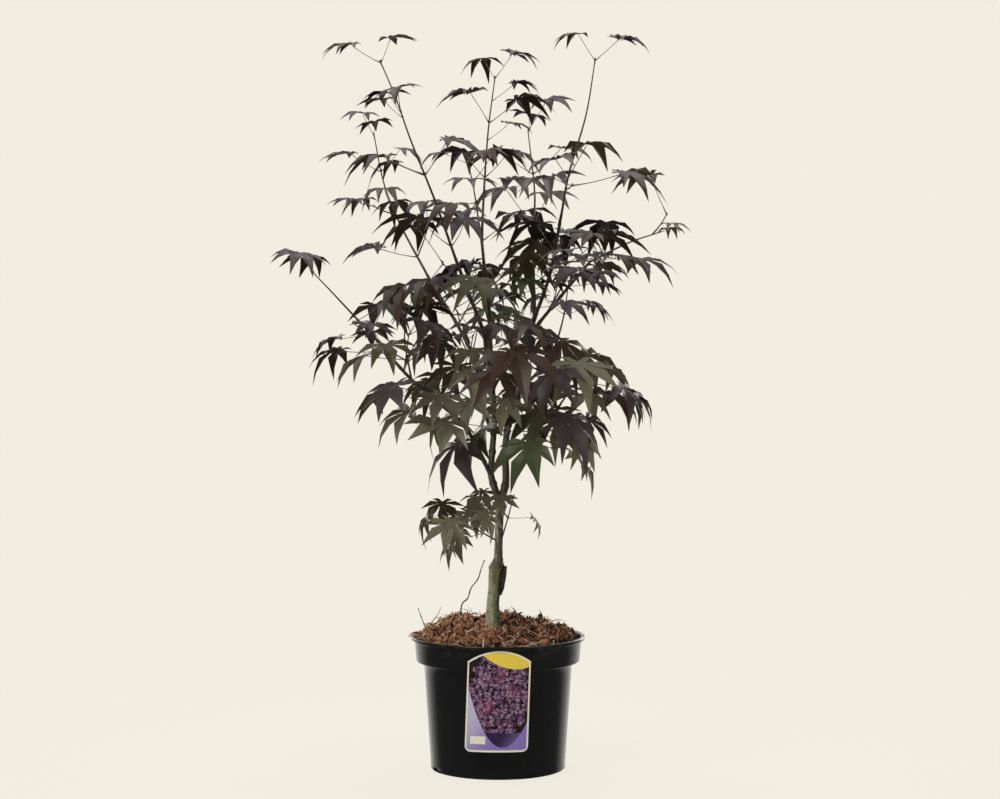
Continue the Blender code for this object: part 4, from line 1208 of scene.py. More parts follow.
def pot_section():
    """(radius, height) from the middle of the floor inside, up the inside, over the rolled lip,
    down the outside and back to the middle underneath."""
    under_lip = POT_HEIGHT - LIP_HEIGHT
    collar_foot = under_lip - COLLAR_HEIGHT
    shoulder = collar_foot - SHOULDER_DROP
    floor = 1.1 * POT_WALL
    inside = [(0.0, floor), (0.5 * BASE_RADIUS, floor), (BASE_RADIUS - 2.0 * POT_WALL, floor),
              (SHOULDER_RADIUS - POT_WALL, shoulder), (COLLAR_FOOT - POT_WALL, collar_foot + POT_WALL),
              (COLLAR_TOP - POT_WALL, under_lip), (COLLAR_TOP - 0.0004, POT_HEIGHT - 0.0008)]
    lip = [*arc((COLLAR_TOP + 0.0012, POT_HEIGHT - 0.0014), 0.0014, 150.0, 95.0, 4),
           *arc((LIP_RADIUS - 0.0012, POT_HEIGHT - 0.0012), 0.0012, 85.0, 0.0, 6),
           *arc((LIP_RADIUS - 0.0008, under_lip + 0.0008), 0.0008, 0.0, -80.0, 4)]
    collar = [(COLLAR_TOP + 0.0006, under_lip - 0.0001), (COLLAR_TOP, under_lip - 0.0008),
              *[(COLLAR_TOP + (COLLAR_FOOT - COLLAR_TOP) * t, under_lip - COLLAR_HEIGHT * t)
                for t in (0.15, 0.5, 0.85)],
              *arc((COLLAR_FOOT - 0.0013, collar_foot + 0.0013), 0.0013, 0.0, -80.0, 5),
              (SHOULDER_RADIUS + 0.0035, collar_foot - 0.0008),
              (SHOULDER_RADIUS + 0.0010, collar_foot - 0.0018), (SHOULDER_RADIUS, shoulder)]
    wall = [(SHOULDER_RADIUS + (BASE_RADIUS - SHOULDER_RADIUS) * t, shoulder * (1.0 - t) + 0.0085 * t)
            for t in (0.08, 0.3, 0.5, 0.7, 0.9, 1.0)]
    foot = [(BASE_RADIUS, z) for z in (0.0074, 0.0066, 0.0056, 0.0044, 0.0032)]
    foot += arc((BASE_RADIUS - BASE_CORNER, BASE_CORNER), BASE_CORNER, 0.0, -90.0, 6)
    under = [(BASE_RADIUS - 0.009, 0.0), (0.5 * BASE_RADIUS, 0.0), (0.0, 0.0)]
    return [*inside, *lip, *collar, *wall, *foot, *under]


def notch_dent(radius, height, angle):
    """How far the wall goes in at the drain notches: full depth within the notch's half width
    and height, easing to none just outside them."""
    bearing = np.radians(np.array(DRAIN_BEARINGS))[:, None]
    away = np.abs(np.mod(angle - bearing + np.pi, 2.0 * np.pi) - np.pi).min(axis=0) * BASE_RADIUS
    wide = np.clip((NOTCH_HALF - away) / 0.0016, 0.0, 1.0)
    low = np.clip((NOTCH_HEIGHT - height) / 0.0012, 0.0, 1.0)
    outside = radius > BASE_RADIUS - 0.6 * BASE_CORNER
    return NOTCH_DEPTH * wide * low * outside


def soil_height(radius):
    """Height of the mulch's smooth crown at this distance from the pot's axis."""
    return SOIL_EDGE + SOIL_CROWN * np.maximum(0.0, 1.0 - (radius / SOIL_RADIUS) ** 2) ** 0.8


def bed_height(x, y):
    """The mulch's height: its crown, with hollows, lumps and crumbs on it that fade at the rim."""
    radius = np.hypot(x, y)
    flat = np.stack([x, y, np.zeros_like(x)], axis=-1)
    rough = 0.0030 * ripples(flat, 0.050, 3) + 0.0016 * ripples(flat, 0.017, 4)
    rough = rough + 0.0009 * ripples(flat, 0.007, 5) + 0.0004 * ripples(flat, 0.003, 6)
    hollow = -0.0065 * np.exp(-(((x - 0.060) / 0.016) ** 2 + ((y + 0.016) / 0.013) ** 2))
    mound = 0.0075 * np.exp(-(((x + 0.066) / 0.030) ** 2 + ((y - 0.020) / 0.045) ** 2))
    dip = -0.0125 * np.exp(-(((x - TRUNK_X) / 0.034) ** 2 + ((y + 0.034) / 0.034) ** 2))
    slope = -0.0035 * np.clip((x - 0.030) / 0.070, 0.0, 1.0)
    near_trunk = 1.0 - np.exp(-(((x - TRUNK_X) ** 2 + y**2) / 0.022**2))
    fade = np.clip((SOIL_RADIUS - radius) / 0.012, 0.0, 1.0)
    lumps = (rough + hollow + mound) * fade * (0.25 + 0.75 * near_trunk)
    return soil_height(radius) - 0.0008 + lumps + dip + slope


def bed_surface():
    """A disc of rings and sectors lifted to bed_height, closed by a flat underside."""
    radius = SOIL_RADIUS * np.linspace(0.0, 1.0, BED_RINGS) ** 0.85
    angle = 2.0 * np.pi * np.arange(BED_SECTORS) / BED_SECTORS
    x, y = radius[1:, None] * np.cos(angle), radius[1:, None] * np.sin(angle)
    top = np.stack([x, y, bed_height(x, y)], axis=-1)[::-1]
    rim = top[:1].copy()
    rim[..., 2] = SOIL_EDGE - 0.012
    grid = np.concatenate([rim, top])
    ends = [(0.0, 0.0, SOIL_EDGE - 0.012), (0.0, 0.0, float(bed_height(np.zeros(1), np.zeros(1))[0]))]
    quads, tris = tube_faces(len(grid), BED_SECTORS)
    return surface(np.vstack([grid.reshape(-1, 3), ends]), quads, tris)


def strands(count, length, thickness, seed, tones, flat, rise, side=None):
    """Loose strands on the mulch. Each is a bent tube on a path that starts at a random place,
    runs a random way and curves by a random bend, riding on bed_height and lifted by the rise.
    A side, if given, is the bearing and the spread that they lie about."""
    rng = np.random.default_rng(seed)
    radius = SOIL_RADIUS * 0.95 * np.sqrt(rng.uniform(0.012, 1.0, count))
    angle = rng.normal(*side, count) if side else rng.uniform(0.0, 2.0 * np.pi, count)
    heading = rng.uniform(0.0, 2.0 * np.pi, count)
    reach = rng.uniform(*length, count)
    t = np.linspace(-0.5, 0.5, 6)
    turn = heading[:, None] + rng.normal(0.0, 0.75, count)[:, None] * t
    x = (radius * np.cos(angle))[:, None] + reach[:, None] * t * np.cos(turn)
    y = (radius * np.sin(angle))[:, None] + reach[:, None] * t * np.sin(turn)
    out = np.hypot(x, y)
    clear = np.hypot(x - TRUNK_X, y)
    over = np.maximum(0.0, 0.0125 - clear) / np.maximum(clear, 1e-6)
    x, y = x + (x - TRUNK_X) * over, y + y * over
    squeeze = np.minimum(1.0, (SOIL_RADIUS - 0.0005) / np.maximum(out, 1e-6))
    x, y = x * squeeze, y * squeeze
    tilt = rng.normal(0.0, 1.0, count) * rise
    low = 0.22 + 0.78 * np.clip((clear.min(axis=1) - 0.014) / 0.024, 0.0, 1.0)
    tilt, lift = tilt * low, rng.uniform(0.1, 1.0, count) * rise * 0.5 * low
    z = bed_height(x, y) + lift[:, None] + np.abs(tilt)[:, None] * (0.5 + np.sign(tilt)[:, None] * t) * 0.6
    z = z + 0.0007 * np.sin(9.0 * t + angle[:, None])
    size = rng.uniform(*thickness, count)[:, None] * np.array([0.45, 0.9, 1.0, 0.95, 0.8, 0.35])
    return dealt(tubes(np.stack([x, y, z], axis=-1), size, 4, flat), count, tones, rng)


def dealt(shape, count, tones, rng):
    """The surface, of count like parts, with a finish dealt to each part by the tones' weights."""
    tone = rng.choice(len(tones), count, p=np.array(tones) / sum(tones))
    per_quad, per_tri = len(shape.quads) // count, len(shape.tris) // count
    return shape._replace(quad_finish=np.repeat(tone, per_quad), tri_finish=np.repeat(tone, per_tri))


def label_surface():
    """The card: a grid over (u, v) in -1..1 by 0..1. x is u half the width, and z runs from the
    foot, rounded up at its corners, to the arched top. It leans by a share of z, and is bent round
    the collar, front and back a card's thickness apart. Gives also each front point's place on
    the card and its edge mask."""
    columns, rows = 73, 97
    half = LABEL_WIDTH / 2.0
    u = np.sin(np.linspace(-0.5, 0.5, columns) * np.pi)
    v = 0.5 - 0.5 * np.cos(np.linspace(0.0, 1.0, rows) * np.pi)
    x = np.broadcast_to(u * half, (rows, columns))
    top = LABEL_TOP - LABEL_ARCH * u**2
    past = np.clip((np.abs(u) * half - (half - LABEL_CORNER)) / LABEL_CORNER, 0.0, 1.0)
    foot = LABEL_FOOT + LABEL_CORNER * (1.0 - np.sqrt(1.0 - past**2)) + 0.0003
    z = foot + v[:, None] * (top - foot)
    sag = 0.0005 * np.sin(np.pi * v)[:, None] * np.cos(0.5 * np.pi * u)
    layers = []
    for depth in (LABEL_CARD, 0.0):
        radius = COLLAR_TOP + LABEL_GAP + depth - sag * (depth == 0.0)
        turn = (x + LABEL_LEAN * (z - (LABEL_TOP + LABEL_FOOT) / 2.0)) / (COLLAR_TOP + LABEL_CARD)
        layers.append(np.stack([radius * np.sin(turn), -radius * np.cos(turn), z], axis=-1))
    count = rows * columns
    row, column = np.meshgrid(np.arange(rows - 1), np.arange(columns - 1), indexing="ij")
    a = (row * columns + column).ravel()
    front = np.stack([a, a + 1, a + columns + 1, a + columns], axis=-1)
    back = front[:, ::-1] + count
    index = np.arange(count).reshape(rows, columns)
    rim = np.concatenate([index[0, :], index[1:, -1], index[-1, -2::-1], index[-2:0:-1, 0]])
    after = np.roll(rim, -1)
    edge = np.stack([after, rim, rim + count, after + count], axis=-1)
    place = np.stack([x, z - LABEL_FOOT], axis=-1).reshape(-1, 2)
    inset = np.minimum.reduce([
        np.broadcast_to((1.0 - np.abs(u)) * half, x.shape), (z - foot), (top - z) * 0.9,
    ]).ravel()
    return (
        surface(np.concatenate([layer.reshape(-1, 3) for layer in layers]),
                np.concatenate([front, back, edge])),
        np.tile(place, (2, 1)),
        np.concatenate([inset < LABEL_EDGE, np.ones(count, bool)]).astype(float),
    )


# ---------------------------------------------------------------- trunk, boughs and twigs

BARK_STEP = 0.0009
FOOT_SUNK = 0.0055
TRUNK_SECTORS = 60
BOUGH_SECTORS = 18
BOUGH_STEP = 0.0022
GRAFT = 0.2655
WOUND_BEARING = -35.0
# the way that the painted light comes from: bark turned this way is painted paler, and bark turned away is
# painted darker
LIT_SIDE = np.array([-0.80, -0.45, 0.40])


def trunk_surface(relief):
    """The trunk as a tube whose radius is the rings' own, smoothly joined, plus the relief:
    root ridges at the foot, long furrows, lumps at the graft and a sunken strip beside it. Gives
    also each point's age, 1 above the graft, its wound, 1 in the strip, and how far it faces the
    lit side, which the finish paints as highlight and shade."""
    heights, shifts, radii = np.array(TRUNK_RINGS).T
    rings = round((heights[-1] - heights[0]) / BARK_STEP)
    line = smooth_line(np.stack([shifts, radii, heights], axis=1), BARK_STEP)
    z = np.linspace(heights[0] - FOOT_SUNK, heights[-1], rings)
    shift, radius = (np.interp(z, line[:, 2], line[:, part]) for part in (0, 1))
    angle = 2.0 * np.pi * np.arange(TRUNK_SECTORS) / TRUNK_SECTORS
    a, h = np.meshgrid(angle, z)
    skin = np.stack([np.cos(a), np.sin(a), (h - GRAFT) * 12.0], axis=-1)
    roots = 0.0009 * np.exp(-np.maximum(0.0, h - heights[0]) / 0.007)
    roots *= np.cos(4 * a + 0.6) + 0.6 * np.cos(7 * a)
    furrows = -np.abs(ripples(skin * (1.0, 1.0, 0.45), 0.30, 12)) ** 0.7
    lumps = ripples(skin * (1.0, 1.0, 3.5), 1.25, 13) * np.exp(-(((h - GRAFT) / 0.0075) ** 2))
    waves = ripples(skin * (1.0, 1.0, 1.2), 2.2, 14)
    collar = np.exp(-(((h - 0.2775) / 0.0016) ** 2)) * (0.6 + 0.4 * np.cos(a * 2.0))
    bearing = math.radians(WOUND_BEARING)
    strip = np.abs(np.mod(a - bearing - 9.0 * (h - 0.25) + np.pi, 2.0 * np.pi) - np.pi)
    wound = np.clip(1.25 - strip / 0.42 + 0.3 * ripples(skin, 0.5, 15), 0.0, 1.0)
    wound = wound * np.clip((h - 0.229) / 0.012, 0.0, 1.0) * np.clip((0.272 - h) / 0.003, 0.0, 1.0)
    bark = 0.00030 * furrows + 0.00042 * waves + 0.0010 * lumps + 0.0005 * collar + roots
    profile = np.maximum(radius[:, None] + relief * bark - 0.0011 * wound, 0.003)
    path = np.stack([TRUNK_X + shift, 0.0 * z, z], axis=-1)
    grid = np.stack([
        path[:, 0:1] + profile * np.cos(a), profile * np.sin(a), h,
    ], axis=-1)
    quads, tris = tube_faces(rings, TRUNK_SECTORS)
    ends = [path[0], path[-1] + (0.0, 0.0, 0.001)]
    age = np.clip((h - 0.258 + 0.003 * ripples(skin, 0.9, 16)) / 0.012, 0.0, 1.0)
    # how far each point faces the painted light's side, from 0 to 1
    weather = 0.5 + 0.5 * (np.cos(a) * LIT_SIDE[0] + np.sin(a) * LIT_SIDE[1])
    marks = [np.append(mark.ravel(), [mark[0, 0], mark[-1, 0]]) for mark in (age, wound, weather)]
    return surface(np.vstack([grid.reshape(-1, 3), ends]), quads, tris), *marks


def stub_surface():
    """The cut-off stub: a leaning tube with ridges round it, cut slantwise and roughened on top."""
    foot, tip = np.array(STUB_FOOT) + (TRUNK_X, 0, 0), np.array(STUB_TIP) + (TRUNK_X, 0, 0)
    t = np.linspace(0.0, 1.0, 46)[:, None]
    path = foot + (tip - foot) * t + np.array([0.0008, 0.0, 0.0]) * np.sin(3.0 * t)
    angle = 2.0 * np.pi * np.arange(28) / 28
    radius = STUB_RADII[0] + (STUB_RADII[1] - STUB_RADII[0]) * t
    radius = radius * (0.55 + 0.45 * np.clip(t / 0.25, 0.0, 1.0))
    ridges = 0.00035 * np.cos(5 * angle + 4.0 * t) + 0.00025 * np.cos(9 * angle - 3.0 * t)
    shell = tubes([path], [radius + ridges], 28, cap=0.15)
    top = shell.points[:, 2] > tip[2] - 0.003
    slant = 0.22 * (shell.points[:, 0] - tip[0]) + 0.0006 * ripples(shell.points, 0.004, 8)
    shell.points[:, 2] += slant * top
    return shell


def joints(way, spacing, first=0.6):
    """Shares of a way at which its joints stand, spacing apart."""
    count = max(1, int(way.length / spacing))
    return (np.arange(count) + first) / count


def bough_surface(way, relief, spacing=0.034):
    """A bough as a tube along its way. Its radius runs evenly to the tip, flares where it leaves
    its parent, swells with a double scar at each joint, and has shallow flutes along it. Gives also how far
    each point faces the lit side, from 0 to 1, for the painted highlight."""
    count = max(8, round(way.length / BOUGH_STEP))
    share = np.linspace(0.0, 1.0, count)
    path = way.places(share)
    radius = np.interp(share * way.length, way.reach, way.radii)
    along = share * way.length
    angle = 2.0 * np.pi * np.arange(BOUGH_SECTORS) / BOUGH_SECTORS
    flare = 0.35 * np.exp(-along / (2.2 * radius[0]))
    from_joint = (along[:, None] - joints(way, spacing) * way.length)
    swell = 0.16 * np.exp(-((from_joint / 0.0030) ** 2)).sum(axis=1)
    scar = 0.10 * (np.exp(-(((from_joint - 0.0012) / 0.0006) ** 2))
                   + np.exp(-(((from_joint + 0.0010) / 0.0006) ** 2))).sum(axis=1)
    flutes = 0.05 * np.cos(3 * angle + 30.0 * share[:, None]) + 0.03 * np.cos(5 * angle + 2.0)
    profile = radius[:, None] * (1.0 + (flare + relief * (swell + scar))[:, None] + relief * flutes)
    shell = tubes([path], [profile], BOUGH_SECTORS)
    middle = np.append(np.repeat(path, BOUGH_SECTORS, axis=0), path[[0, -1]], axis=0)
    # how far each point faces the painted light's side
    west = unit(shell.points - middle) @ LIT_SIDE
    return shell, np.clip(0.5 + 0.5 * west, 0.0, 1.0)


def stem_surface(way, finish, slim, sides=7):
    """A leafy stem or twig: a slim tube that narrows toward its tip, with a swelling just below
    the tip and a pointed end.
    """
    share = np.linspace(0.0, 1.0, max(5, round(way.length / 0.004)))
    radius = np.interp(share * way.length, way.reach, way.radii)
    radius = radius * (slim + (1.0 - slim) * (1.0 - share)) + 0.0003 * np.exp(-((share - 1.0) / 0.03) ** 2)
    shell = tubes([way.places(share)], [radius], sides, cap=2.2)
    return shell._replace(
        quad_finish=np.full(len(shell.quads), finish), tri_finish=np.full(len(shell.tris), finish)
    )


def stalks(leaves, thickness, stalk_finish, heart_finish):
    """Every leaf's stalk: a tube along the curve (1-t)^2 A + 2t(1-t) B + t^2 C, from the joint A
    over a point B that leaves the twig more steeply, to C under the middle of the blade. It is
    swollen at both ends, and its last part takes the redder finish."""
    foot = np.array([tuple(leaf.foot) for leaf in leaves])
    turns = np.array([np.array(leaf.frame) for leaf in leaves])
    length = np.array([leaf.length for leaf in leaves])[:, None]
    along, over = turns[:, :3, 0], turns[:, :3, 2]
    end = turns[:, :3, 3] + along * 0.03 * length - over * 0.0008
    luck = natures(foot, 3)
    bow = (0.10 + 0.10 * luck[:, :1]) * length
    middle = (foot + end) / 2.0 - np.array([0.0, 0.0, 1.0]) * bow * 0.35
    middle = middle + np.cross(along, over) * (luck[:, 1:2] - 0.5) * 0.14 * length
    t = np.linspace(0.0, 1.0, 8)[None, :, None]
    path = (1 - t) ** 2 * foot[:, None] + 2 * t * (1 - t) * middle[:, None] + t**2 * end[:, None]
    swell = np.array([2.0, 1.35, 1.0, 0.95, 0.92, 0.92, 1.15, 0.8])
    slim = np.clip(length / 0.055, 0.55, 1.05)
    shell = tubes(path, thickness * slim * swell, 5)
    count = len(leaves)
    ring = np.arange(len(shell.quads) // count) // 5
    quad_finish = np.tile(np.where(ring >= 5, heart_finish, stalk_finish), count)
    tri_finish = np.tile(np.repeat([stalk_finish, heart_finish], 5), count)
    return shell._replace(quad_finish=quad_finish, tri_finish=tri_finish)


def buds(leaves, finish):
    """A small pointed bud in the crook of each stalk: a short tube, wide low down, then pointed."""
    foot = np.array([tuple(leaf.foot) for leaf in leaves])
    out = unit(np.array([tuple(leaf.middle) for leaf in leaves]) - foot) * 0.45 + (0.0, 0.0, 1.0)
    t = np.array([0.0, 0.35, 0.7, 1.0])[None, :, None]
    size = 0.6 + 0.5 * natures(foot, 1)[:, :, None]
    path = foot[:, None] + unit(out)[:, None] * (0.0006 + 0.0038 * size * t)
    shell = tubes(path, size[..., 0] * np.array([0.0008, 0.0011, 0.0008, 0.0003]), 5, cap=1.0)
    return shell._replace(
        quad_finish=np.full(len(shell.quads), finish), tri_finish=np.full(len(shell.tris), finish)
    )


# ---------------------------------------------------------------- foliage tones

# name, upper side, lower side
LEAF_TONES = (
    ("night_plum", (0.020, 0.013, 0.012), (0.018, 0.009, 0.006)),
    ("dark_plum", (0.032, 0.021, 0.020), (0.026, 0.014, 0.009)),
    ("dusty_plum", (0.050, 0.037, 0.038), (0.036, 0.022, 0.016)),
    ("red_bark", (0.042, 0.021, 0.013), (0.040, 0.017, 0.008)),
    ("bronze", (0.078, 0.061, 0.039), (0.064, 0.045, 0.027)),
    ("olive", (0.052, 0.051, 0.018), (0.046, 0.040, 0.013)),
    ("leaf_green", (0.042, 0.053, 0.016), (0.056, 0.056, 0.015)),
    ("grey_green", (0.165, 0.153, 0.096), (0.126, 0.110, 0.066)),
)
# how often each tone is dealt: in the tips, the upper crown, the middle, the shaded heart of the
# crown, whose olive and green tones are painted light shining through the leaves, the low sprays
# and the skirt round the trunk
TONE_SHARES = {
    "tips": (5, 5, 1, 2, 0, 0, 0, 0),
    "upper": (2, 5, 5, 2, 1, 1, 0, 0),
    "middle": (2, 4, 3, 2, 2, 2, 1, 0),
    "heart": (1, 1, 1, 2, 1, 5, 5, 0),
    "low": (0, 2, 3, 2, 3, 2, 1, 5),
    "skirt": (0, 0, 0, 0, 2, 1, 0, 10),
}
BELT_FEET = (("upper", 0.70), ("middle", 0.56), ("low", 0.42), ("skirt", 0.0))


def belt_of(leaf):
    """The belt of the crown that a leaf hangs in, by height."""
    return next(name for name, foot in BELT_FEET if leaf.middle.z >= foot)


def tones_of(leaves):
    """The tone of each leaf. One number is drawn for each stem and one for each leaf, so that
    most leaves of a stem are alike."""
    tones = []
    for leaf in leaves:
        out = math.hypot(leaf.middle.x, leaf.middle.y)
        belt = belt_of(leaf)
        if leaf.middle.z > 0.84:
            belt = "tips"
        # leaves near the axis take the heart's olive and green tones: painted light shining through them
        elif out < 0.085 and 0.44 < leaf.middle.z < 0.70:
            belt = "heart"
        rng = random.Random(leaf.stem + belt)
        shares = TONE_SHARES[belt]
        stem_tone = rng.choices(range(len(shares)), shares)[0]
        own = random.Random(round(leaf.middle.x * 1e5) + round(leaf.middle.z * 1e5))
        leaf_tone = own.choices(range(len(shares)), shares)[0]
        tones.append(stem_tone if own.random() < 0.45 else leaf_tone)
    return np.array(tones)


# ---------------------------------------------------------------- what a user can change


class MaplePotSettings(bpy.types.PropertyGroup):
    tone: bpy.props.FloatVectorProperty(
        name="Plastic", description="Colour of the pot's plastic", subtype="COLOR",
        default=(0.0065, 0.0065, 0.0072), min=0.0, max=1.0,
    )
    gloss: bpy.props.FloatProperty(
        name="Roughness", description="How far the pot's gloss is blurred", subtype="FACTOR",
        default=0.17, min=0.0, max=1.0,
    )
    card_tone: bpy.props.FloatVectorProperty(
        name="Card", description="Colour of the label's edge", subtype="COLOR",
        default=(0.80, 0.76, 0.62), min=0.0, max=1.0,
    )
    sweep_tone: bpy.props.FloatVectorProperty(
        name="Sweep", description="Colour of the label's upper sweep", subtype="COLOR",
        default=(0.80, 0.60, 0.06), min=0.0, max=1.0,
    )
    foot_tone: bpy.props.FloatVectorProperty(
        name="Foot", description="Colour of the label's lower sweep", subtype="COLOR",
        default=(0.22, 0.16, 0.46), min=0.0, max=1.0,
    )


class MapleMulchSettings(bpy.types.PropertyGroup):
    fibres: bpy.props.IntProperty(
        name="Fibres", description="Number of bark fibres on the soil", default=3600, min=0,
    )
    chips: bpy.props.IntProperty(
        name="Chips", description="Number of flat chips of bark", default=760, min=0,
    )
    rise: bpy.props.FloatProperty(
        name="Rise", description="How far loose fibres stand up", subtype="DISTANCE",
        unit="LENGTH", default=0.0076, min=0.0,
    )


class MapleWoodSettings(bpy.types.PropertyGroup):
    relief: bpy.props.FloatProperty(
        name="Relief", description="Depth of the bark's relief, as a share of its true depth",
        subtype="FACTOR", default=1.0, min=0.0, max=2.0,
    )
    green: bpy.props.FloatVectorProperty(
        name="Stock", description="Colour of the trunk below the graft", subtype="COLOR",
        default=(0.165, 0.190, 0.080), min=0.0, max=1.0,
    )
    # pale also paints the highlight on the trunk's lit side
    pale: bpy.props.FloatVectorProperty(
        name="Bloom", description="Colour of the pale patches on the trunk", subtype="COLOR",
        default=(0.54, 0.53, 0.37), min=0.0, max=1.0,
    )
    brown: bpy.props.FloatVectorProperty(
        name="Old bark", description="Colour of the bark above the graft", subtype="COLOR",
        default=(0.100, 0.084, 0.060), min=0.0, max=1.0,
    )
    young: bpy.props.FloatVectorProperty(
        name="Young bark", description="Colour of the stems and boughs", subtype="COLOR",
        default=(0.032, 0.022, 0.021), min=0.0, max=1.0,
    )


class MapleLeafSettings(bpy.types.PropertyGroup):
    droop: bpy.props.FloatProperty(
        name="Droop", description="How far the lobes' tips hang, as a share of their length",
        subtype="FACTOR", default=0.43, min=0.0, max=1.0,
    )
    fold: bpy.props.FloatProperty(
        name="Fold", description="How far each lobe is folded up from its rib", subtype="ANGLE",
        unit="ROTATION", default=math.radians(24.0), min=0.0, max=1.2,
    )
    stalk: bpy.props.FloatProperty(
        name="Stalk", description="Radius of the leaf stalks", subtype="DISTANCE",
        unit="LENGTH", default=0.00055, min=0.0001,
    )
    slim: bpy.props.FloatProperty(
        name="Slimness", description="Radius at the tip of a leafy stem, as a share of its plan",
        subtype="FACTOR", default=0.72, min=0.1, max=1.0,
    )


class MapleStageSettings(bpy.types.PropertyGroup):
    floor: bpy.props.FloatVectorProperty(
        name="Floor", description="Colour of the floor and of what is behind it", subtype="COLOR",
        default=(0.880, 0.847, 0.745), min=0.0, max=1.0,
    )
    light: bpy.props.FloatProperty(
        name="Light", description="Strength of all the lamps", default=1.0, min=0.0,
    )


# ---------------------------------------------------------------- operators


def new_piece(name, shape, finishes, nodes, sharp=None, marks=None, card=None):
    """A mesh object from a surface, riding on the body and standing for the named solids."""
    mesh = bpy.data.meshes.new(name)
    corners = np.concatenate([shape.quads.ravel(), shape.tris.ravel()]).astype(np.int32)
    sizes = np.repeat([4, 3], [len(shape.quads), len(shape.tris)])
    mesh.vertices.add(len(shape.points))
    mesh.vertices.foreach_set("co", shape.points.ravel())
    mesh.loops.add(len(corners))
    mesh.loops.foreach_set("vertex_index", corners)
    mesh.polygons.add(len(sizes))
    mesh.polygons.foreach_set("loop_start", (np.cumsum(sizes) - sizes).astype(np.int32))
    mesh.polygons.foreach_set(
        "material_index", np.concatenate([shape.quad_finish, shape.tri_finish]).astype(np.int32)
    )
    mesh.update(calc_edges=True)
    mesh.validate()
    mesh.shade_smooth()
    if sharp is not None:
        mesh.set_sharp_from_angle(angle=math.radians(sharp))
    for mark, values in (marks or {}).items():
        layer = mesh.attributes.new(mark, "FLOAT", "POINT")
        layer.data.foreach_set("value", values.astype(np.float32))
    if card is not None:
        layer = mesh.uv_layers.new(name="card")
        layer.data.foreach_set("uv", card[corners].astype(np.float32).ravel())
    for finish in finishes:
        mesh.materials.append(finish)
    piece = bpy.data.objects.new(name, mesh)
    bpy.context.scene.collection.objects.link(piece)
    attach(piece, BODY)
    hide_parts(*nodes)
    return piece


def painted(shape, finish):
    """The surface with one finish all over."""
    return shape._replace(
        quad_finish=np.full(len(shape.quads), finish), tri_finish=np.full(len(shape.tris), finish)
    )


class MAPLE_OT_pot(bpy.types.Operator):
    """Makes the moulded pot, with its rolled lip, collar and drain notches"""

    bl_idname = "maple.pot"
    bl_label = "Pot"

    def execute(self, context):
        settings = context.scene.maple_pot
        shape = lathe(pot_section()[::-1], POT_SECTORS, notch_dent)
        new_piece("pot_shell", shape, [pot_finish(settings.tone, settings.gloss)],
                  ["pot"], sharp=50.0)
        return {"FINISHED"}


class MAPLE_OT_label(bpy.types.Operator):
    """Makes the printed card on the pot's collar"""

    bl_idname = "maple.label"
    bl_label = "Label"

    def execute(self, context):
        settings = context.scene.maple_pot
        shape, card, edge = label_surface()
        finish = label_finish(settings.card_tone, settings.sweep_tone, settings.foot_tone,
                              LABEL_DEEP_TONE)
        new_piece("printed_label", shape, [finish], ["label"], sharp=60.0,
                  marks={"edge": edge}, card=card)
        return {"FINISHED"}


class MAPLE_OT_mulch(bpy.types.Operator):
    """Makes the bed of soil, and the fibres, chips and dry twigs that lie on it"""

    bl_idname = "maple.mulch"
    bl_label = "Mulch"

    def execute(self, context):
        settings = context.scene.maple_mulch
        bed = mulch_finish(*BED_TONES)
        new_piece("mulch_bed", bed_surface(), [bed], ["soil"])
        tones = [plain("fibre_" + name, tone, 0.8, 0.3) for name, tone in FIBRE_TONES]
        fibres = [
            strands(settings.fibres // part, lengths, widths, seed, shares, flat,
                    lift * settings.rise, side)
            for part, lengths, widths, seed, shares, flat, lift, side in FIBRE_GROUPS
        ]
        fibres = join([*fibres, spilt_fibres(SPILT_FIBRES, MIXED_SHARES)])
        new_piece("mulch_fibres", fibres, tones, ["soil"], sharp=50.0)
        chips = strands(settings.chips, (0.006, 0.018), (0.0014, 0.0034), 35, (5, 3, 7, 1, 5, 2),
                        0.30, 1.1 * settings.rise)
        new_piece("mulch_chips", join([chips, *loose_wood()]), tones, ["soil"], sharp=40.0)
        return {"FINISHED"}


class MAPLE_OT_trunk(bpy.types.Operator):
    """Makes the grafted trunk and the cut-off stub beside the graft"""

    bl_idname = "maple.trunk"
    bl_label = "Trunk"

    def execute(self, context):
        settings = context.scene.maple_wood
        shape, age, wound, weather = trunk_surface(settings.relief)
        stub = stub_surface()
        cut = np.clip((stub.points[:, 2] - 0.2640) / 0.002, 0.45, 1.0)
        finish = trunk_finish(settings.green, settings.pale, settings.brown)
        new_piece("trunk_bark", join([shape, stub]), [finish], ["trunk"], marks={
            "age": np.concatenate([age, np.ones(len(stub.points))]),
            "wound": np.concatenate([wound, cut]),
            # the stub takes a low, fixed share of the painted light, so it is painted mostly in shade
            "weather": np.concatenate([weather, np.full(len(stub.points), 0.3)]),
        })
        return {"FINISHED"}


class MAPLE_OT_boughs(bpy.types.Operator):
    """Makes the two stems and the boughs that they carry"""

    bl_idname = "maple.boughs"
    bl_label = "Boughs"

    def execute(self, context):
        settings = context.scene.maple_wood
        # each bough's surface, and how far it faces the painted light's side
        shapes, weather = zip(*[bough_surface(PLAN.ways[name], settings.relief) for name in LIMBS])
        whole = join(shapes)
        age = np.clip((0.66 - whole.points[:, 2]) / 0.20, 0.0, 1.0)
        thick = [np.full(len(shape.points), 1.0 if name.endswith("stem") else 0.6)
                 for name, shape in zip(LIMBS, shapes)]
        finish = bough_finish(settings.young, BOUGH_HIGHLIGHT_GREY)
        new_piece("bough_bark", whole, [finish], list(LIMBS), marks={
            "age": age * np.concatenate(thick), "weather": np.concatenate(weather),
        })
        return {"FINISHED"}


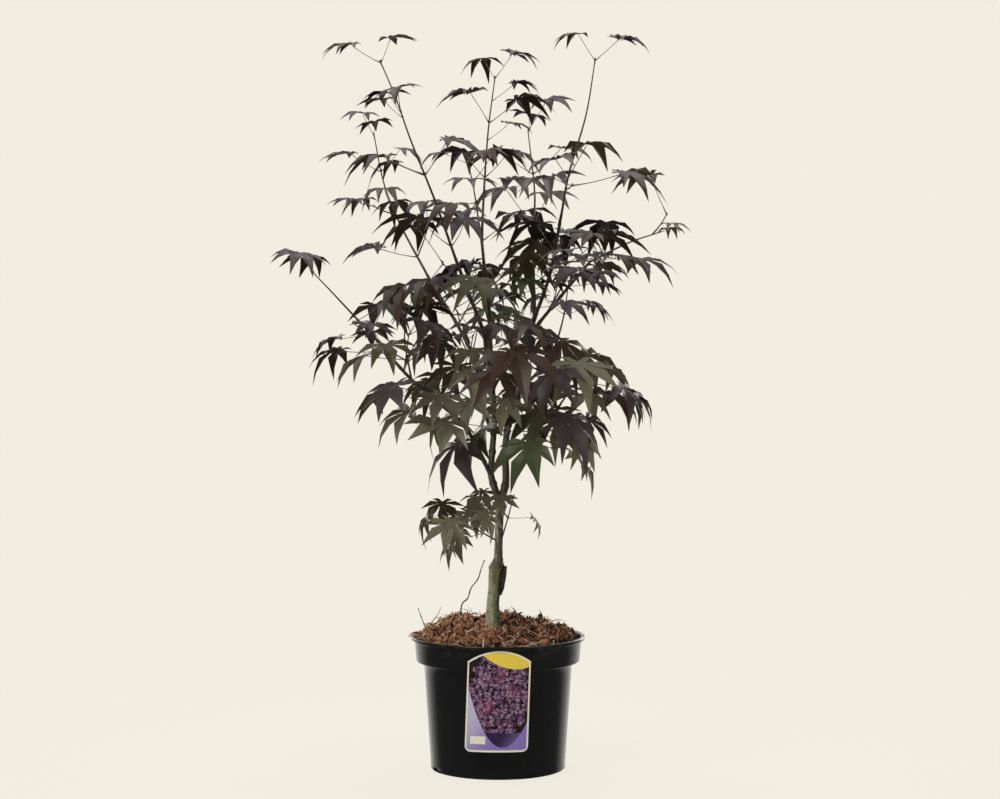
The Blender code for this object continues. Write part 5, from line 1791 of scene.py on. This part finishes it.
class MAPLE_OT_foliage(bpy.types.Operator):
    """Makes the leaves, and the leafy stems, stalks and buds that carry them"""

    bl_idname = "maple.foliage"
    bl_label = "Foliage"

    def execute(self, context):
        settings = context.scene.maple_leaf
        tones = []
        for name, above, below in LEAF_TONES:
            tones += [plain(name, above, 0.46, 0.36), plain(name + "_under", below, 0.6, 0.25)]
        woods = [
            plain("stem_bark", (0.040, 0.026, 0.024), 0.5),
            plain("stalk_skin", (0.062, 0.030, 0.026), 0.45),
            plain("stalk_heart", (0.150, 0.052, 0.046), 0.45),
            plain("bud_scale", (0.085, 0.030, 0.026), 0.5),
        ]
        masses = {"foliage_" + name: belt for name, belt in PLAN.belts.items()}
        for belt, _ in BELT_FEET:
            leaves = [leaf for leaf in PLAN.leaves if belt_of(leaf) == belt]
            nodes = [node for node, its_belt in masses.items() if its_belt == belt]
            points = blades(leaves, settings.droop, settings.fold)
            count, stride = points.shape[:2]
            tone = 2 * tones_of(leaves)
            sides = (
                (QUADS_ABOVE, 0), (QUADS_BELOW, 1),
                (TIPS_ABOVE, 0), (TIPS_BELOW, 1),
            )
            faces = [repeated(part, count, stride).reshape(-1, part.shape[1]) for part, side in sides]
            paint = [np.repeat(tone + side, len(part)) for part, side in sides]
            shape = surface(points, np.vstack(faces[:2]), np.vstack(faces[2:]),
                            np.concatenate(paint[:2]), np.concatenate(paint[2:]))
            new_piece("leaves_" + belt, shape, tones, nodes, sharp=38.0)
            twigs = [stalks(leaves, settings.stalk, 1, 2), buds(leaves, 3)]
            twigs += [stem_surface(way, 0, settings.slim) for way in PLAN.twigs[belt]]
            new_piece("twigs_" + belt, join(twigs), woods, nodes, sharp=60.0)
        return {"FINISHED"}


def floor_finish(tone):
    """A floor that glows in its own colour, with a share of true light and shade about the pot
    that fades out with distance, so that far off it matches what is behind it."""
    floor = Finish("studio_floor", tone, 1.0, specular_ior_level=0.0)
    place = floor.node("ShaderNodeTexCoord", out="Object")
    away = floor.node("ShaderNodeVectorMath", {"operation": "LENGTH"}, {0: place}, out="Value")
    near = (1.0 - floor.step(away, 0.15, 0.75)) * FLOOR_SHADE
    floor.feed("Base Color", floor.mix((0.0, 0.0, 0.0), tone, near))
    floor.feed("Emission Color", floor.mix(tone, (0.0, 0.0, 0.0), near * FLOOR_LIGHT))
    floor.feed("Emission Strength", 1.0)
    return floor.material


class MAPLE_OT_stage(bpy.types.Operator):
    """Makes the floor, the lamps and the camera"""

    bl_idname = "maple.stage"
    bl_label = "Stage"

    def execute(self, context):
        settings = context.scene.maple_stage
        scene = context.scene
        scene.view_settings.view_transform = "Standard"
        tone = tuple(settings.floor)
        radius, count = 60.0, 96
        angle = 2.0 * np.pi * np.arange(count) / count
        ring = np.stack([radius * np.cos(angle), radius * np.sin(angle), 0.0 * angle], axis=-1)
        mesh = bpy.data.meshes.new("floor")
        mesh.from_pydata(ring.tolist(), [], [list(range(count))])
        mesh.materials.append(floor_finish(tone))
        ground = bpy.data.objects.new("floor", mesh)
        ground.visible_glossy = False
        scene.collection.objects.link(ground)

        world = bpy.data.worlds.new("studio")
        scene.world = world
        world.use_nodes = True
        nodes, links = world.node_tree.nodes, world.node_tree.links
        seen = nodes["Background"]
        seen.inputs["Color"].default_value = (*tone, 1.0)
        lit = nodes.new("ShaderNodeBackground")
        lit.inputs["Color"].default_value = (1.0, 0.985, 0.955, 1.0)
        way, part = nodes.new("ShaderNodeTexCoord"), nodes.new("ShaderNodeSeparateXYZ")
        fade = nodes.new("ShaderNodeMapRange")
        links.new(way.outputs["Generated"], part.inputs[0])
        links.new(part.outputs["Y"], fade.inputs["Value"])
        for socket, value in zip(("From Min", "From Max", "To Min", "To Max"), ROOM_FADE):
            fade.inputs[socket].default_value = value
        links.new(fade.outputs[0], lit.inputs["Strength"])
        pick, which = nodes.new("ShaderNodeMixShader"), nodes.new("ShaderNodeLightPath")
        links.new(which.outputs["Is Camera Ray"], pick.inputs[0])
        links.new(lit.outputs[0], pick.inputs[1])
        links.new(seen.outputs[0], pick.inputs[2])
        links.new(pick.outputs[0], nodes["World Output"].inputs["Surface"])

        for name, place, aim, width, height, power in LAMPS:
            lamp = bpy.data.lights.new(name, "AREA")
            lamp.shape = "RECTANGLE"
            lamp.size, lamp.size_y = width, height
            lamp.energy = power * settings.light
            lamp.color = (1.0, 0.985, 0.96)
            holder = bpy.data.objects.new(name, lamp)
            holder.location = place
            holder.rotation_euler = (Vector(aim) - Vector(place)).to_track_quat("-Z", "Y").to_euler()
            holder.visible_camera = False
            scene.collection.objects.link(holder)

        lens = bpy.data.cameras.new("camera")
        lens.lens = CAMERA_LENS
        lens.sensor_width = 36.0
        lens.clip_end = 200.0
        camera = bpy.data.objects.new("camera", lens)
        camera.location = CAMERA_PLACE
        camera.rotation_euler = (math.radians(90.0) - CAMERA_DIP, 0.0, 0.0)
        scene.collection.objects.link(camera)
        scene.camera = camera
        return {"FINISHED"}


# name, place, what it points at, width, height, power in watts
LAMPS = (
    ("key_softbox", (-1.5, -1.7, 2.3), (0.0, 0.0, 0.55), 1.5, 1.5, 46.0),
    ("fill_softbox", (2.0, -1.5, 1.3), (0.0, 0.0, 0.5), 1.4, 1.6, 16.0),
    ("top_softbox", (0.1, 0.4, 2.7), (0.0, 0.0, 0.5), 1.6, 1.6, 34.0),
    ("left_strip", (-1.1, 1.7, 0.7), (0.0, 0.0, 0.3), 0.5, 1.5, 12.0),
    ("right_strip", (1.1, 1.7, 0.7), (0.0, 0.0, 0.3), 0.5, 1.5, 14.0),
)
# the room's light by how far a ray points behind the plant: from, to, and the strength at each
ROOM_FADE = (0.45, 0.85, 0.12, 1.00)
# share of the floor's colour that takes light and shade, and how much light falls near the pot
FLOOR_SHADE = 0.07
FLOOR_LIGHT = 1.0
CAMERA_LENS = 87.21
CAMERA_PLACE = (0.00267, -3.2, 0.62346)
CAMERA_DIP = 0.0418726

# the fibres' tones; black and straw are partly the fibres' own colours and partly painted shade in the gaps
# and painted highlights
FIBRE_TONES = (
    ("red", (0.320, 0.125, 0.058)),
    ("rust", (0.520, 0.250, 0.125)),
    ("dark", (0.070, 0.030, 0.015)),
    ("tan", (0.700, 0.430, 0.260)),
    ("black", (0.014, 0.007, 0.004)),
    ("straw", (0.880, 0.700, 0.520)),
)
# how much of each tone there is in mixed fibre
MIXED_SHARES = (6, 7, 4, 6, 5, 3)
# groups of fibres: one to how many of the setting, the spans of length and of width, seed, shares
# of the tones, flatness, lift, and the side of the bed that they keep to with its spread
FIBRE_GROUPS = (
    (1, (0.008, 0.026), (0.00035, 0.0008), 31, MIXED_SHARES, 0.8, 1.0, None),
    (5, (0.016, 0.040), (0.0005, 0.0011), 33, (7, 7, 4, 5, 4, 1), 0.6, 1.4, None),
    # dark and black fibres kept to the right of the bed: painted shade on the side away from the key light
    (3, (0.008, 0.022), (0.0004, 0.0010), 37, (1, 0, 7, 0, 6, 0), 0.7, 1.0, (-0.15, 0.55)),
    # pale tan and straw fibres kept to the left of the bed: painted light on the side that faces the key
    # light
    (4, (0.008, 0.024), (0.0004, 0.0010), 39, (4, 8, 0, 9, 0, 4), 0.7, 1.0, (3.25, 0.70)),
)
SPILT_FIBRES = 34
SPILL_BEARING = (192.0, 17.0)
# the bed's dark and light tones; the dark one is partly painted shade where the bed shows between fibres
BED_TONES = ((0.024, 0.011, 0.006), (0.11, 0.046, 0.022))
LABEL_DEEP_TONE = (0.030, 0.012, 0.060)
# grey of the painted highlight on the lit side of the old stems and boughs
BOUGH_HIGHLIGHT_GREY = (0.20, 0.185, 0.135)
# dry twigs and big chips that lie or stand on the mulch: the path, two radii, the flatness and
# which tone of the fibres
LOOSE_WOOD = (
    (((-0.0500, 0.030, 0.190), (-0.0485, 0.030, 0.213), (-0.0405, 0.028, 0.222),
      (-0.0360, 0.027, 0.236), (-0.0270, 0.024, 0.248), (-0.0225, 0.022, 0.262),
      (-0.0180, 0.020, 0.274)), (0.0011, 0.0006), 1.0, 2),
    (((-0.0495, 0.030, 0.190), (-0.036, 0.026, 0.196), (-0.024, 0.020, 0.193), (-0.021, 0.018, 0.186)),
     (0.0008, 0.0006), 1.0, 4),
    (((-0.090, 0.004, 0.174), (-0.098, 0.002, 0.190), (-0.106, 0.000, 0.212)),
     (0.0008, 0.0005), 1.0, 2),
    (((0.008, 0.012, 0.187), (0.014, 0.010, 0.197), (0.024, 0.010, 0.199), (0.032, 0.010, 0.187)),
     (0.0011, 0.0008), 1.0, 4),
    (((-0.033, -0.043, 0.1845), (-0.020, -0.047, 0.1860), (-0.008, -0.048, 0.1850)),
     (0.0050, 0.0036), 0.62, 2),
    (((0.022, 0.004, 0.1930), (0.034, 0.000, 0.1920)), (0.0048, 0.0036), 0.6, 2),
    (((0.048, 0.030, 0.187), (0.070, 0.020, 0.184), (0.083, 0.005, 0.180)), (0.0030, 0.0022), 0.6, 2),
    (((-0.070, 0.040, 0.184), (-0.050, 0.055, 0.185)), (0.0036, 0.0026), 0.5, 0),
)


def spilt_fibres(count, tones):
    """Fibres that lie out over the pot's lip on its left: on each, the distance from the pot's
    axis grows evenly, and the height runs from the mulch up to the lip and a little down."""
    rng = np.random.default_rng(41)
    t = np.linspace(0.0, 1.0, 6)
    bearing = np.radians(rng.normal(*SPILL_BEARING, count))[:, None]
    bearing = bearing + rng.normal(0.0, 0.10, count)[:, None] * t
    first, last = rng.uniform(0.088, 0.100, count), rng.uniform(0.108, 0.1195, count)
    reach = first[:, None] + (last - first)[:, None] * t
    x, y = reach * np.cos(bearing), reach * np.sin(bearing)
    over = POT_HEIGHT + 0.0012 - 0.9 * np.maximum(0.0, reach - LIP_RADIUS)
    rise = np.clip((reach - 0.100) / 0.008, 0.0, 1.0)
    height = bed_height(x, y) + 0.0015 + (over - bed_height(x, y) - 0.0015) * rise
    height = height + rng.uniform(0.0, 0.0022, count)[:, None]
    size = rng.uniform(0.0005, 0.0011, count)[:, None] * np.array([0.6, 1.0, 1.0, 0.9, 0.7, 0.35])
    shape = tubes(np.stack([x, y, height], axis=-1), size, 4, 0.7)
    return dealt(shape, count, tones, rng)


def loose_wood():
    """The dry twigs and big chips, each a tube along its own path."""
    made = []
    for knots, radii, flat, tone in LOOSE_WOOD:
        way = Way(knots, radii, 0.003)
        wobble = 1.0 + 0.14 * ripples(way.points, 0.009, tone)
        made.append(painted(tubes([way.points], [way.radii * wobble], 7, flat), tone))
    return made


# ---------------------------------------------------------------- the plant as a whole


class Plan:
    """Where all the plant's wood and leaves are. Foliage grows in the order of SPRAYS, the order
    that its solids grew in, and then the fine shoots, each leaf and twig keeping clear of what is there."""

    def __init__(self):
        self.ways = {"trunk": trunk_way()}
        for name, limb in LIMBS.items():
            self.ways[name] = limb_way(limb, limb.tip, self.ways)
        limbs = dict(self.ways)
        stems = {name: limb_way(spray, SPRAY_TIP, self.ways) for name, spray in SPRAYS.items()}
        taken = [self.wood(None, way) for way in limbs.values()]
        taken += [self.wood(name, way) for name, way in stems.items()]
        self.leaves = []
        self.belts = {}
        self.twigs = {belt: [] for belt, _ in BELT_FEET}
        for name, way in stems.items():
            leaves, twigs = grow_spray(name, SPRAYS[name], way, taken)
            self.leaves += leaves
            self.belts[name] = self.belt(way)
            self.twigs[self.belts[name]] += [way, *twigs]
        taken[: len(limbs)] = [self.wood(name, way) for name, way in limbs.items()]
        self.ways.update(stems)
        for parent in (*LIMBS, *SPRAYS):
            for shoot in deal_shoots(parent, self.ways[parent]):
                leaves, twigs = grow_shoot(shoot, self.ways, taken)
                self.leaves += leaves
                for twig in twigs:
                    self.twigs[self.belt(twig)].append(twig)

    @staticmethod
    def wood(owner, way):
        """The room that a way's wood takes up."""
        ends = Vector(way.points[0]), Vector(way.points[-1])
        return room_of(owner, wood_room(way.points, way.radii), ends)

    @staticmethod
    def belt(way):
        """The belt of the crown that the middle of a way is in."""
        height = way.points[len(way.points) // 2][2]
        return next(name for name, foot in BELT_FEET if height >= foot)


PLAN = Plan()


# ---------------------------------------------------------------- panel and registration


class MAPLE_PT_panel(bpy.types.Panel):
    """Lists the pieces of the potted maple"""

    bl_label = "Potted maple"
    bl_idname = "MAPLE_PT_panel"
    bl_space_type = "VIEW_3D"
    bl_region_type = "UI"
    bl_category = "Maple"

    def draw(self, context):
        for title, group, operators in PANEL_ROWS:
            box = self.layout.box()
            box.label(text=title)
            settings = getattr(context.scene, group)
            for name in settings.__annotations__:
                box.prop(settings, name)
            for operator in operators:
                box.operator(operator)


PANEL_ROWS = (
    ("Pot and label", "maple_pot", ("maple.pot", "maple.label")),
    ("Mulch", "maple_mulch", ("maple.mulch",)),
    ("Wood", "maple_wood", ("maple.trunk", "maple.boughs")),
    ("Foliage", "maple_leaf", ("maple.foliage",)),
    ("Stage", "maple_stage", ("maple.stage",)),
)
SETTINGS = {
    "maple_pot": MaplePotSettings,
    "maple_mulch": MapleMulchSettings,
    "maple_wood": MapleWoodSettings,
    "maple_leaf": MapleLeafSettings,
    "maple_stage": MapleStageSettings,
}
CLASSES = (
    *SETTINGS.values(), MAPLE_OT_pot, MAPLE_OT_label, MAPLE_OT_mulch, MAPLE_OT_trunk,
    MAPLE_OT_boughs, MAPLE_OT_foliage, MAPLE_OT_stage, MAPLE_PT_panel,
)


def register():
    """Adds the settings, the operators and the panel."""
    for one in CLASSES:
        bpy.utils.register_class(one)
    for name, group in SETTINGS.items():
        setattr(bpy.types.Scene, name, bpy.props.PointerProperty(type=group))


def unregister():
    """Takes them away again."""
    for name in SETTINGS:
        delattr(bpy.types.Scene, name)
    for one in reversed(CLASSES):
        bpy.utils.unregister_class(one)


def main():
    """Makes the stage and every piece."""
    register()
    bpy.ops.maple.stage()
    bpy.ops.maple.pot()
    bpy.ops.maple.label()
    bpy.ops.maple.mulch()
    bpy.ops.maple.trunk()
    bpy.ops.maple.boughs()
    bpy.ops.maple.foliage()
    bpy.context.view_layer.update()


if __name__ == "__main__":
    main()
